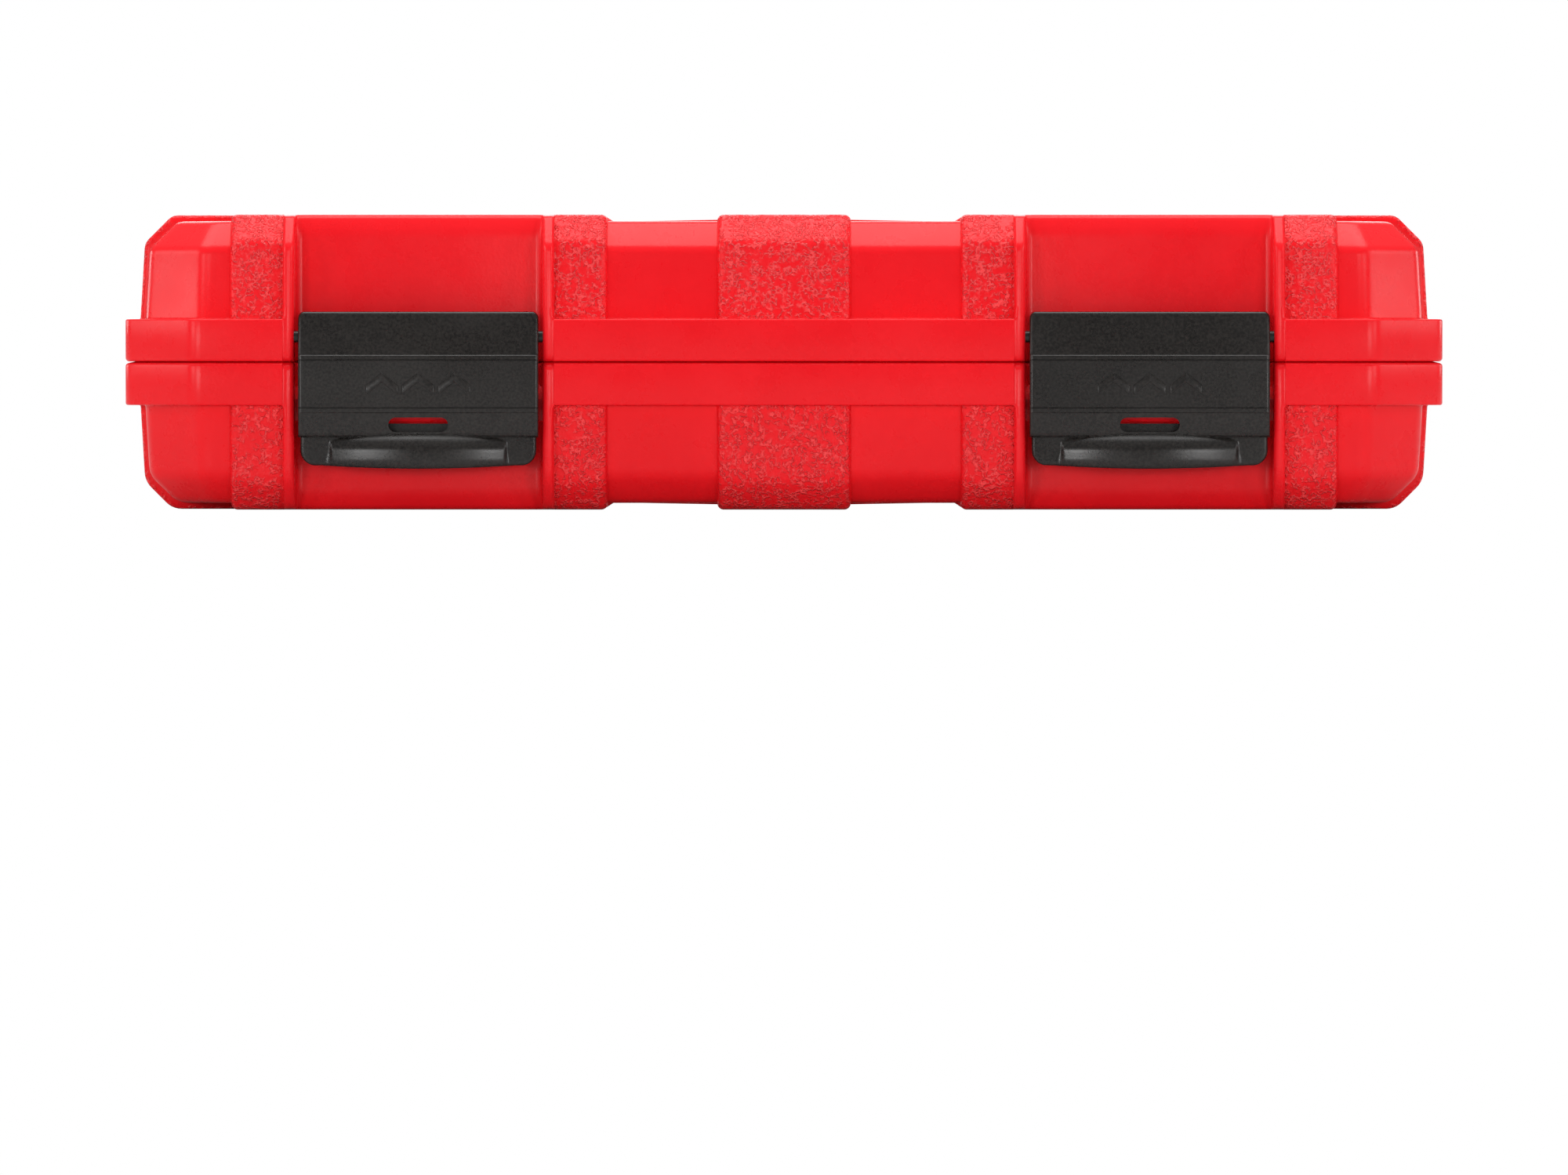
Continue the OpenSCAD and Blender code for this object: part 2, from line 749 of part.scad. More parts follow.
// A spark plug socket is a deep socket with a wide bore for the plug behind the hexagon.
module plug_socket(i) {
    size = plug_sizes[i];
    color("silver") plug_place(i) rotate([0, 90, 0]) difference() {
        cylinder(d = plug_d(size), h = plug_l);
        translate([0, 0, plug_seat[0]]) cylinder(r = (size + hex_gap) / 2, h = plug_l);
        translate([0, 0, plug_seat[1]]) cylinder(r = (size + hex_gap) / sqrt(3), h = plug_l, $fn = 6);
        cylinder(r = bore_r(size), h = plug_l);
        rotate([0, -90, 0]) square_hole(square_depth);
    }
}

module plug_insert(i) {
    r = (plug_sizes[i] + hex_gap) / 2;
    color([0.15, 0.15, 0.15]) plug_place(i) translate([22, 0, 0]) rotate([0, 90, 0]) difference() {
        cylinder(r = r, h = insert_l);
        translate([0, 0, -1]) cylinder(r = r - insert_wall, h = insert_l + 2);
    }
}

base_shell();
base_tray();
lid_shell();
lid_liner();
hinge_pin(-1);  // hinge_pin_left
hinge_pin(1);  // hinge_pin_right
latch(-1);  // latch_left
latch(1);  // latch_right
ratchet_body();
ratchet_grip();
ratchet_end_cap();
ratchet_cover();
cover_screws();
drive_gear();
drive_ball();
release_button();
button_spring();
selector_lever();
ratchet_pawl();
pawl_spring();
bar(0);  // long_bar
bar_ball(0);  // long_bar_ball
bar(1);  // short_bar
bar_ball(1);  // short_bar_ball
bar(2);  // drive_adapter
bar_ball(2);  // adapter_ball
for (i = [0:len(small_sizes) - 1]) {
    socket(small_sizes, i, small_row_y);
}
for (i = [0:len(large_sizes) - 1]) {
    socket(large_sizes, i, large_row_y);
}
for (i = [0:len(plug_sizes) - 1]) {
    plug_socket(i);
    plug_insert(i);
}
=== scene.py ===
"""Socket wrench set in its moulded case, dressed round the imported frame.

Shapes are worked out in millimetres in the row frame and scaled to metres when their meshes are made.
Each case half is drawn in its own half frame, where z is the distance from the seam outwards.
"""
import math

import bmesh
import bpy
import numpy as np
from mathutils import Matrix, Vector
from mathutils.geometry import delaunay_2d_cdt


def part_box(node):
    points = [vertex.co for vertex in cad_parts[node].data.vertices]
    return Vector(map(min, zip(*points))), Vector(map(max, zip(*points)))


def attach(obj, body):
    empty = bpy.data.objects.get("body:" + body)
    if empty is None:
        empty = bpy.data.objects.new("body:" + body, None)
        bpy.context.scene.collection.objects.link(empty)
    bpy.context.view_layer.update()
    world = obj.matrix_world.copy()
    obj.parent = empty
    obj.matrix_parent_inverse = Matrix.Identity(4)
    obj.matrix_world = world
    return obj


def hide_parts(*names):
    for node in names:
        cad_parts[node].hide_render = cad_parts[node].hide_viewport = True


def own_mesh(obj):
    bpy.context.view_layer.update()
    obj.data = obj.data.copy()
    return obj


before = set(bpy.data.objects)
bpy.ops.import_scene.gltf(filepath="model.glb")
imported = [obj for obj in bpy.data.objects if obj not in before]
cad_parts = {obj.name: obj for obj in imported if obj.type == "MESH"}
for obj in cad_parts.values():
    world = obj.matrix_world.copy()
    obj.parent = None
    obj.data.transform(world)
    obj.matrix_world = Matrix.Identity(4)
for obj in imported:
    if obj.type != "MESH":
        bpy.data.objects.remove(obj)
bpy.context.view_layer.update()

MM = 0.001


def node_box(node):
    """Lowest and highest corners of a CAD node, in millimetres."""
    low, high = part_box(node)
    return low / MM, high / MM


# ---------- Case dimensions, in millimetres ----------

FOOT_OUT = 9.6  # how far the feet stand out behind the case
base_low, base_high = node_box("base_shell")
SEAM = node_box("lid_shell")[1].z / 2
HALF_H = SEAM
HALF_W = base_high.x
FRONT = base_low.y
BACK = base_high.y - FOOT_OUT
MID_Y = (FRONT + BACK) / 2
FLANGE_H = 12.4  # height of the rim's flange on each half
FLANGE_OUT = 4.9  # how far the flange stands out from the smooth wall at the seam
DRAFT = 0.058  # the wall leans in by this much per millimetre of height
CHAMFER = 8  # between the wall and the outer face
CORNER_CUT = 20  # what the cut corners take off each side in plan
FOLD_R = 7  # radius of the vertical folds at the cut corners
SEAM_GAP = 0.2  # from the seam to each half's edge
SKIN = 2.2  # thickness of the moulding
CAP_DEPTH = 17.6  # where the wall's profile hands over to the flat outer face

RIB_OUT = 1.9  # height of the ribs
RIB_ROLL = 1.8  # radius of a rib's rounded edge
RIB_W = 38.5
RIB_PITCH = 70
RIBS = range(-2, 3)  # ribs along the front and the back, counted from the middle one
END_PITCH = 62
END_RIBS = (-1, 0, 1)
SMOOTH_H = HALF_H - RIB_OUT  # height of the outer face between the ribs
ROOF = SMOOTH_H - SKIN  # inner side of the outer face

LATCH_X = 1.5 * RIB_PITCH
RECESS_HALF = 35.7  # half width of a latch recess
RECESS_DEPTH = 12.5
RECESS_LEAN = 0.25  # how far the recess's side walls lean in
RECESS_CORNER = 2.0  # radius between a side wall and the recess's floor
BORDER = 3.3  # width of the rolled strip at each side of a recess
BORDER_R = 2.3  # radius of the strip's roll
BORDER_IN = 0.25  # how far the strip lies behind the flange's face
PAD_BACK = FRONT + RECESS_DEPTH + 11  # end of the raised pad round a recess on the outer face
PIVOT_Y = FRONT + 3.7  # axis that the latches turn on
PIVOT_UP = 7.3  # its height above the seam

HAND_Y = -77  # middle of the hand opening
HAND_HALF = (52, 15)  # half its length and half its width
HAND_CORNER = 9
HAND_RIM = 5  # width of the opening's rounded rim
HAND_EDGE = 0.5  # how far the rim runs on past its rounding
HAND_WALL = 7.2  # from the opening's inside to the cavity

HINGE_Y = BACK + 5  # axis of the hinge pins
HINGE_X = 103  # middle of each hinge
KNUCKLE_L = 28.2  # length of a knuckle
KNUCKLE_PITCH = 28.6
KNUCKLE_R = 4.3  # radius of its band round the pin
WINDOW_W = 9.5  # width of the window in a knuckle's lip
LIP_OUT = 5.9  # how far a knuckle's lip reaches over the other half's flange
POCKET_DEPTH = 8.5  # cut-out in that flange for the lip
FOOT_X = 111.5  # middle of each of the base's feet


# ---------- Mesh helpers ----------

def link_mesh(name, bm):
    """Turns a bmesh into an object in the scene."""
    mesh = bpy.data.meshes.new(name)
    bm.to_mesh(mesh)
    bm.free()
    obj = bpy.data.objects.new(name, mesh)
    bpy.context.scene.collection.objects.link(obj)
    return obj


def make_object(name, bm, body, material, smooth_angle):
    """Turns a bmesh in millimetres into a finished object that rides on a body."""
    bmesh.ops.scale(bm, vec=(MM, MM, MM), verts=bm.verts)
    bmesh.ops.recalc_face_normals(bm, faces=bm.faces)
    obj = link_mesh(name, bm)
    mesh = obj.data
    mesh.polygons.foreach_set("use_smooth", [True] * len(mesh.polygons))
    mesh.set_sharp_from_angle(angle=math.radians(smooth_angle))
    mesh.materials.append(material)
    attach(obj, body)
    return obj


def apply_modifiers(obj):
    """Replaces an object's mesh by the result of its modifiers."""
    depsgraph = bpy.context.evaluated_depsgraph_get()
    mesh = bpy.data.meshes.new_from_object(obj.evaluated_get(depsgraph))
    old = obj.data
    obj.modifiers.clear()
    obj.data = mesh
    bpy.data.meshes.remove(old)


def bevel_edges(obj, width, segments, angle):
    """Adds a modifier that rounds the edges that turn by more than an angle."""
    bevel = obj.modifiers.new("edges", "BEVEL")
    bevel.width = width * MM
    bevel.segments = segments
    bevel.limit_method = "ANGLE"
    bevel.angle_limit = math.radians(angle)


def round_edges(obj, width, segments, angle):
    """Rounds an object's edges in its mesh."""
    bevel_edges(obj, width, segments, angle)
    apply_modifiers(obj)


def rounded(corners):
    """Points of a polyline whose corners (x, y, reach, count) are rounded by arcs.

    reach is how far the arc starts from the corner, and count is its number of points.
    """
    points = [np.array(corners[0][:2], float)]
    for before, corner, after in zip(corners, corners[1:], corners[2:]):
        here = np.array(corner[:2], float)
        reach, count = corner[2], corner[3]
        back = np.array(before[:2], float) - here
        onward = np.array(after[:2], float) - here
        back /= np.linalg.norm(back)
        onward /= np.linalg.norm(onward)
        weight = math.sqrt(max(0.0, (1 - float(back @ onward)) / 2))
        start, end = here + reach * back, here + reach * onward
        for t in np.linspace(0, 1, count):
            b0, b1, b2 = (1 - t) ** 2, 2 * t * (1 - t) * weight, t ** 2
            points.append((b0 * start + b1 * here + b2 * end) / (b0 + b1 + b2))
    points.append(np.array(corners[-1][:2], float))
    return np.array(points)


def loft(bm, rows, closed_rows=True):
    """Faces between rows of vertices; the rows are loops unless closed_rows is False."""
    for a, b in zip(rows, rows[1:]):
        n = len(a)
        for i in range(n if closed_rows else n - 1):
            j = (i + 1) % n
            bm.faces.new((a[i], a[j], b[j], b[i]))


def arc(cy, cz, radius, start, end, count):
    """Points of an arc in the (y, z) plane; the angles are in degrees."""
    angles = np.radians(np.linspace(start, end, count))
    return [(cy + radius * math.cos(a), cz + radius * math.sin(a)) for a in angles]


def prism(bm, outline, low, high):
    """Closed prism along X from a (y, z) outline."""
    ends = [[bm.verts.new((x, y, z)) for y, z in outline] for x in (low, high)]
    bm.faces.new(ends[0])
    bm.faces.new(ends[1][::-1])
    loft(bm, [ends[1], ends[0]])


def cutter(name, outline, low, high):
    """Solid to subtract: an (x, z) outline extruded along Y."""
    bm = bmesh.new()
    ends = [[bm.verts.new((x * MM, y * MM, z * MM)) for x, z in outline] for y in (low, high)]
    bm.faces.new(ends[0])
    bm.faces.new(ends[1][::-1])
    loft(bm, ends)
    bmesh.ops.recalc_face_normals(bm, faces=bm.faces)
    return link_mesh(name, bm)


def subtract(obj, tools):
    """Cuts the tools out of an object and deletes them."""
    for tool in tools:
        boolean = obj.modifiers.new(tool.name, "BOOLEAN")
        boolean.operation = "DIFFERENCE"
        boolean.solver = "EXACT"
        boolean.object = tool
    bpy.context.view_layer.update()
    apply_modifiers(obj)
    for tool in tools:
        mesh = tool.data
        bpy.data.objects.remove(tool)
        bpy.data.meshes.remove(mesh)


# ---------- Case halves ----------

SMOOTH, RIB, BORDER_ROLL, RECESS = range(4)


def wall_profile(kind, edge_reach):
    """(depth, height) points of a half's skin, from its inner roof round the seam edge to its top."""
    inner = RECESS_DEPTH + 2.4 if kind == RECESS else FLANGE_OUT + SKIN
    if kind == RECESS:
        corners = [
            (RECESS_DEPTH, FLANGE_H, 0.8, 4),
            (RECESS_DEPTH, FLANGE_H + 4, 0.8, 4),
            (RECESS_DEPTH + 0.5, HALF_H - 5, 2, 6),
            (RECESS_DEPTH + 2.2, HALF_H, 1.8, 6),
        ]
        face = RECESS_DEPTH
    elif kind == BORDER_ROLL:
        corners = [
            (BORDER_IN, FLANGE_H, 0.8, 4),
            (BORDER_IN + 0.1, FLANGE_H + 4, 0.8, 4),
            (1.3, HALF_H - 9.2, edge_reach, 6),
            (9.6, HALF_H - 0.4, edge_reach, 6),
        ]
        face = BORDER_IN
    else:
        out = RIB_OUT if kind == RIB else 0
        top = SMOOTH_H + out
        turn = top - CHAMFER
        depth = FLANGE_OUT - out
        corners = [
            (0, FLANGE_H, 0.6, 4),
            (depth + DRAFT * FLANGE_H, FLANGE_H, 0.5, 4),
            (depth + DRAFT * turn, turn, edge_reach, 6),
            (depth + DRAFT * turn + CHAMFER, top, edge_reach, 6),
        ]
        face = 0
    top = SMOOTH_H if kind == SMOOTH else HALF_H
    return rounded([
        (CAP_DEPTH - 2, ROOF, 0, 1),
        (max(inner, 9.2), ROOF - 8, 0, 1),
        (inner, SEAM_GAP, 0, 1),
        (face, SEAM_GAP, 2.2 if kind == BORDER_ROLL else 1.0, 5),
        *corners,
        (CAP_DEPTH, top, 0, 1),
    ])


# Index of the profile's first point on the wall. Before it are 3 points inside, 5 at the seam edge,
# 4 at the flange's outer edge and the first one of the crease between flange and wall.
WALL_START = 3 + 5 + 4 + 1


def roll(edge, radius, towards, count=6):
    """(place, weight) pairs of a quarter-round that falls off at an edge; towards is +1 or -1."""
    angles = np.linspace(0, math.pi / 2, count)
    return [(edge - towards * radius * (1 - math.sin(a)), math.cos(a)) for a in angles]


def weights(**shares):
    """A station's shares of the four wall kinds."""
    order = {"smooth": SMOOTH, "rib": RIB, "border": BORDER_ROLL, "recess": RECESS}
    share = np.zeros(4)
    for name, value in shares.items():
        share[order[name]] = value
    return share


def rib_stations(centre):
    """(place, shares, inner shift) across one rib."""
    stations = []
    for side in (-1, 1):
        for place, w in roll(centre + side * RIB_W / 2, RIB_ROLL, side):
            stations.append((place, weights(rib=w, smooth=1 - w), 0.0))
    return stations


def recess_stations(centre):
    """Stations across one latch recess, with the rolled border strip at each side."""
    stations = []
    for side in (-1, 1):
        edge = centre + side * RECESS_HALF
        crease = edge + side * BORDER
        for place, w in roll(crease, 0.9, side):
            stations.append((place, weights(border=w, rib=1 - w), 0.0))
        depth = RECESS_DEPTH - BORDER_IN
        for a in np.linspace(0, math.pi / 2, 7)[1:]:
            place = edge + side * BORDER_R * (1 - math.sin(a))
            k = BORDER_R * (1 - math.cos(a)) / depth
            stations.append((place, weights(border=1 - k, recess=k), side * SKIN * 0.5))
        for a in np.linspace(0, math.pi / 2, 6):
            place = edge - side * (RECESS_LEAN + RECESS_CORNER * (1 - math.cos(a)))
            k = (depth - RECESS_CORNER * (1 - math.sin(a))) / depth
            stations.append((place, weights(border=1 - k, recess=k), side * SKIN))
    return stations


def plain_stations(centres):
    """Stations across a row of ribs."""
    stations = []
    for centre in centres:
        stations += rib_stations(centre)
    return sorted(stations, key=lambda s: s[0])


def front_stations():
    """Stations along the front: the ribs, with the two latch recesses in place of what they cover."""
    reach = RECESS_HALF + BORDER + 1e-6
    ribs = plain_stations([i * RIB_PITCH for i in RIBS])
    stations = [s for s in ribs if abs(abs(s[0]) - LATCH_X) >= reach]
    for side in (-1, 1):
        stations += recess_stations(side * LATCH_X)
    return sorted(stations, key=lambda s: s[0])


class Edge:
    """One side of the case's octagonal plan: a point on it, its direction and its inward normal."""

    def __init__(self, start, end, axis, stations):
        self.start = np.array(start, float)
        run = np.array(end, float) - self.start
        self.direction = run / np.linalg.norm(run)
        self.inward = np.array([-self.direction[1], self.direction[0]])
        self.axis = axis
        if axis is not None and self.direction[axis] < 0:
            stations = stations[::-1]
        self.stations = stations

    def at(self, place, depth):
        """Plan point at a place along the world axis of this side."""
        point = self.start + self.inward * depth
        point[self.axis] = place
        return point


def case_edges():
    """The eight sides, counter-clockwise seen from above the half's outer face."""
    x, cut = HALF_W, CORNER_CUT
    corners = [(-x + cut, FRONT), (x - cut, FRONT), (x, FRONT + cut), (x, BACK - cut),
               (x - cut, BACK), (-x + cut, BACK), (-x, BACK - cut), (-x, FRONT + cut)]
    ends = plain_stations([MID_Y + i * END_PITCH for i in END_RIBS])
    backs = plain_stations([i * RIB_PITCH for i in RIBS])
    placed = {0: (0, front_stations()), 2: (1, ends), 4: (0, backs), 6: (1, ends)}
    edges = []
    for i, start in enumerate(corners):
        axis, stations = placed.get(i, (None, []))
        edges.append(Edge(start, corners[(i + 1) % 8], axis, stations))
    return edges


def fold_columns(edge, following, depths, count=7):
    """Plan points on the rounded fold between two sides: one row per station, one column per depth."""
    columns = []
    turn = math.pi / 4
    for k in range(count):
        along = (k / (count - 1) - 0.5) * turn
        column = []
        for depth in depths:
            # vertex of the two sides, both moved inwards by depth
            a, b = edge.start + edge.inward * depth, following.start + following.inward * depth
            system = np.array([edge.direction, -following.direction]).T
            s = np.linalg.solve(system, b - a)[0]
            vertex = a + s * edge.direction
            out = -(edge.inward + following.inward)
            out /= np.linalg.norm(out)
            centre = vertex - out * FOLD_R / math.cos(turn / 2)
            c, n = math.cos(along), math.sin(along)
            spoke = np.array([out[0] * c - out[1] * n, out[0] * n + out[1] * c])
            column.append(centre + FOLD_R * spoke)
        columns.append(column)
    return columns


def roll_height(over):
    """Height share at a share of the way over a rolled edge: 1 before the edge and 0 past it."""
    over = max(0.0, over)
    return math.sqrt(max(0.0, 1 - over * over))


def rib_weight(distance):
    """Height share of a rib at a distance from its centre line."""
    return roll_height((distance - (RIB_W / 2 - RIB_ROLL)) / RIB_ROLL)


def hand_distance(x, y):
    """Distance from the hand opening's outline, negative inside it."""
    qx = abs(x) - (HAND_HALF[0] - HAND_CORNER)
    qy = abs(y - HAND_Y) - (HAND_HALF[1] - HAND_CORNER)
    return math.hypot(max(qx, 0), max(qy, 0)) + min(max(qx, qy), 0) - HAND_CORNER


def top_share(x, y):
    """(height share, grain share) of the ribs and latch pads on the outer face."""
    share = max(rib_weight(abs(x - i * RIB_PITCH)) for i in RIBS)
    if abs(x) > 2 * RIB_PITCH:
        share = max([share] + [rib_weight(abs(y - MID_Y - i * END_PITCH)) for i in END_RIBS])
    grain = share
    if abs(abs(x) - LATCH_X) < RECESS_HALF + BORDER + 1 and y < PAD_BACK:
        share = max(share, roll_height((y - PAD_BACK + RIB_ROLL) / RIB_ROLL))
        grain = 0.0
    clear = hand_distance(x, y) - HAND_RIM - HAND_EDGE - 0.3
    share = min(share, roll_height(1 - clear / RIB_ROLL))
    return share, min(grain, share)


def grid_lines(places, low, high, step):
    """The given places plus evenly spaced ones wherever the gap is wider than step."""
    lines = sorted(set(round(p, 3) for p in places if low < p < high) | {low, high})
    filled = []
    for a, b in zip(lines, lines[1:]):
        count = max(1, math.ceil((b - a) / step))
        filled += [a + (b - a) * k / count for k in range(count)]
    return filled + [high]


def cap_faces(bm, grain_layer, outline, hole_grow, surface, points):
    """Fills from a plan outline to the hand opening's loop with triangles through the given points.

    surface gives the height and the grain share at a plan point.
    """
    coords, edges = [], []
    for loop in (outline, hand_loop(hole_grow)):
        start = len(coords)
        coords += [Vector(p) for p in loop]
        edges += [(start + i, start + (i + 1) % len(loop)) for i in range(len(loop))]
    coords += [Vector(p) for p in points]
    verts, _, faces, _, _, _ = delaunay_2d_cdt(coords, edges, [], 0, 1e-5)
    made = {}
    for face in faces:
        centre = sum((verts[i] for i in face), Vector((0, 0))) / len(face)
        if hand_distance(*centre) < hole_grow - 0.1:
            continue
        corners = []
        for i in face:
            if i not in made:
                x, y = verts[i]
                z, share = surface(x, y)
                made[i] = bm.verts.new((x, y, z))
                made[i][grain_layer] = share
            corners.append(made[i])
        bm.faces.new(corners)


def hand_loop(grow, per_corner=7):
    """Rounded rectangle round the hand opening, enlarged by grow."""
    points = []
    for q, (sx, sy) in enumerate([(1, -1), (1, 1), (-1, 1), (-1, -1)]):
        for k in range(per_corner):
            a = math.radians(-90 + 90 * q + 90 * k / (per_corner - 1))
            x = sx * (HAND_HALF[0] - HAND_CORNER) + (HAND_CORNER + grow) * math.cos(a)
            y = sy * (HAND_HALF[1] - HAND_CORNER) + (HAND_CORNER + grow) * math.sin(a)
            points.append((x, HAND_Y + y))
    return points


def wall_columns(edges, profiles):
    """Columns of ((x, y, z), grain share) down the wall's profile, all the way round."""
    plain = profiles[SMOOTH]
    columns = []
    for i, edge in enumerate(edges):
        for place, share, shift in edge.stations:
            column = []
            for t, (depth, z) in enumerate(np.tensordot(share, profiles, 1)):
                x, y = edge.at(place + (shift if t in (1, 2) else 0), depth)
                column.append(((x, y, z), share[RIB] if t >= WALL_START else 0.0))
            columns.append(column)
        for plan in fold_columns(edge, edges[(i + 1) % len(edges)], plain[:, 0]):
            columns.append([((p[0], p[1], z), 0.0) for p, z in zip(plan, plain[:, 1])])
    return columns


def hand_wall(bm):
    """Hand opening: from the inner roof down to the seam, round its edge and up to the outer face."""
    profile = rounded([
        (HAND_WALL, ROOF, 0, 1), (HAND_WALL, SEAM_GAP, 0, 1), (0, SEAM_GAP, 1.0, 4),
        (0, SMOOTH_H, HAND_RIM, 8), (HAND_RIM + HAND_EDGE, SMOOTH_H, 0, 1),
    ])
    loft(bm, [[bm.verts.new((x, y, z)) for x, y in hand_loop(grow)] for grow, z in profile])


def face_points(edges):
    """Plan points inside the outer face: a grid with lines at the ribs' edges, denser at the opening."""
    step = 6
    reach = HALF_W - 25
    xs = grid_lines([s[0] for s in edges[0].stations], -reach, reach, step)
    rows = [s[0] for s in edges[2].stations] + [place for place, _ in roll(PAD_BACK, RIB_ROLL, 1)]
    rows.append(PAD_BACK + 0.05)
    ys = grid_lines(rows, FRONT + CAP_DEPTH + 0.6, BACK - CAP_DEPTH - 0.6, step)
    limit = HALF_W + (BACK - FRONT) / 2 - CORNER_CUT - CAP_DEPTH * math.sqrt(2) - 1
    rim = HAND_RIM + HAND_EDGE
    rim_steps = (0.35, 0.6, 1.0, 1.5, 2.1)
    points = [p for g in rim_steps for p in hand_loop(rim + g, 9)]
    for x in xs:
        column = [(x, y) for y in ys if abs(x) + abs(y - MID_Y) < limit]
        points += [p for p in column if hand_distance(*p) > rim + 2.6]
        if abs(x) < HAND_HALF[0] - HAND_CORNER:
            away = [HAND_HALF[1] + rim + g for g in rim_steps]
            points += [(x, HAND_Y + side * a) for side in (-1, 1) for a in away]
    return points


def half_shell(edge_reach, lip):
    """bmesh of one case half in its half frame, with a grain share on each vertex.

    lip is how much further the inner edge reaches down: the base's goes past the seam and covers its gap.
    """
    bm = bmesh.new()
    grain = bm.verts.layers.float.new("grain")
    profiles = np.array([wall_profile(kind, edge_reach) for kind in range(4)])
    profiles[:, 2, 1] -= lip
    edges = case_edges()
    columns = wall_columns(edges, profiles)
    rings = []
    for t in range(len(columns[0])):
        ring = []
        for column in columns:
            position, share = column[t]
            vert = bm.verts.new(position)
            vert[grain] = share
            ring.append(vert)
        rings.append(ring)
    loft(bm, rings)
    hand_wall(bm)
    last_ring = {(round(v.co.x, 3), round(v.co.y, 3)): (v.co.z, v[grain]) for v in rings[-1]}

    def outer_face(x, y):
        height, share = top_share(x, y)
        return last_ring.get((round(x, 3), round(y, 3)), (SMOOTH_H + RIB_OUT * height, share))

    roof_outline, face_outline = [[tuple(v.co.xy) for v in ring] for ring in (rings[0], rings[-1])]
    cap_faces(bm, grain, face_outline, HAND_RIM + HAND_EDGE, outer_face, face_points(edges))
    cap_faces(bm, grain, roof_outline, HAND_WALL, lambda x, y: (ROOF, 0.0), [])
    bmesh.ops.remove_doubles(bm, verts=bm.verts, dist=0.004)
    return bm


def place_half(bm, on_lid):
    """Moves a bmesh from the half frame to the lid or, mirrored, to the base."""
    side = 1 if on_lid else -1
    for vert in bm.verts:
        vert.co.z = SEAM + side * vert.co.z


# ---------- Feet and knuckles ----------

def foot(name, x, body, on_lid):
    """Rear foot: a tapered block with well-rounded edges that grows out of the wall."""
    # (x from the foot's middle, height from the seam) of its face and of its root inside the wall
    face = [(-27.5, 8.2), (27.5, 8.2), (23, 33.2), (-23, 33.2)]
    root = [(-32, 5.5), (32, 5.5), (28.5, 40), (-28.5, 40)]
    bm = bmesh.new()
    inner = [bm.verts.new((x + px, BACK - 13, pz)) for px, pz in root]
    outer = [bm.verts.new((x + px, BACK + FOOT_OUT, pz)) for px, pz in face]
    bm.faces.new(inner)
    bm.faces.new(outer[::-1])
    loft(bm, [inner, outer])
    edges = [e for e in bm.edges if any(v in outer for v in e.verts)]
    bmesh.ops.bevel(bm, geom=edges, offset=2.9, segments=1, affect="EDGES")
    place_half(bm, on_lid)
    obj = make_object(name, bm, body, case_red, 50)
    round_edges(obj, 1.0, 4, 20)


def knuckle(name, x, body, on_lid):
    """Hinge knuckle, folded round the pin: a band with a tab on its web and a window on its far lip."""
    # (y from the pin, height from the seam); root is inside the wall
    root = -6.0
    band = arc(0, 0, KNUCKLE_R, 38, -41, 12)
    web = [(root, 5.8), (-3.4, 5.5), (0.2, 4.4), (1.8, 4.0)]
    under = [(-3.1, -2.8), (-4.2, -0.8), (-4.25, 0.25), (root, 0.25)]
    lip = [(3.1, -5.2), (2.4, -LIP_OUT), (0.3, -LIP_OUT), (-0.4, -2.9)]
    tab = [(root, 5.8), (1.0, 5.8), (2.3, 4.9)]
    bm = bmesh.new()
    half, window = KNUCKLE_L / 2, WINDOW_W / 2
    parts = [(web + band + lip + under, -half, -window), (tab + band + under, -window, window),
             (web + band + lip + under, window, half)]
    for outline, low, high in parts:
        prism(bm, [(HINGE_Y + y, z) for y, z in outline], x + low, x + high)
    place_half(bm, on_lid)
    obj = make_object(name, bm, body, case_red, 40)
    round_edges(obj, 0.4, 3, 40)


def lip_pocket(x, on_lid):
    """Hidden block that cuts room for the other half's knuckle lip out of a flange."""
    side = 1 if on_lid else -1
    z0, z1 = sorted((SEAM - side, SEAM + side * (LIP_OUT + 0.5)))
    half = KNUCKLE_L / 2 + 0.3
    outline = [(x - half, z0), (x + half, z0), (x + half, z1), (x - half, z1)]
    return cutter("lip_pocket", outline, BACK - POCKET_DEPTH, BACK + 2)


# ---------- Latches ----------

PLATE_HALF = 34.5  # half width of the plate that covers the recess
PLATE_EDGE = 0.9  # radius of its rolled edge
PLATE_T = 2.3  # its thickness
TAB_HALF = 33.9  # half width of the tab below the plate
TAB_TOP = -21.7
PULL_HALF = 25.1  # half width of the finger pull on the tab
PULL_OUT = 3.0
PULL_TOP = -25.5  # where the pull starts to lean back
PULL_CURVE = 0.12  # how fast it leans back
BOW_R = 90.0  # radius of the pull's bow
LATCH_TOP = 14.5
LATCH_LOW = -30.3
TOP_CORNER = 1.9  # radius of the plate's upper corners
TAB_CORNER = 4.4  # radius of the tab's lower corners
STRAIGHT_END = -26  # mesh rows below this height follow the bowed lower edge
HOOK_IN = 9.6  # the two hooks run from here
HOOK_OUT = 31.5  # to here, on both sides of the latch's middle
BARREL_HALF = 33.8
STUB_END = 37.9

# (height from the seam, depth behind the flange's face) down the plate: facets, steps and fine grooves
FACETS = [
    (LATCH_TOP, 1.35), (2.05, -0.60), (1.85, -0.84), (0.75, -0.90), (0.62, -0.62), (0.48, -0.62),
    (0.35, -0.95), (-12.95, -0.95), (-13.08, -0.62), (-13.22, -0.62), (-13.35, -0.92), (-14.45, -0.90),
    (-14.65, -0.68), (-20.4, 0.05), (-21.1, 0.4), (TAB_TOP, 1.5), (LATCH_LOW - 1, 1.5),
]


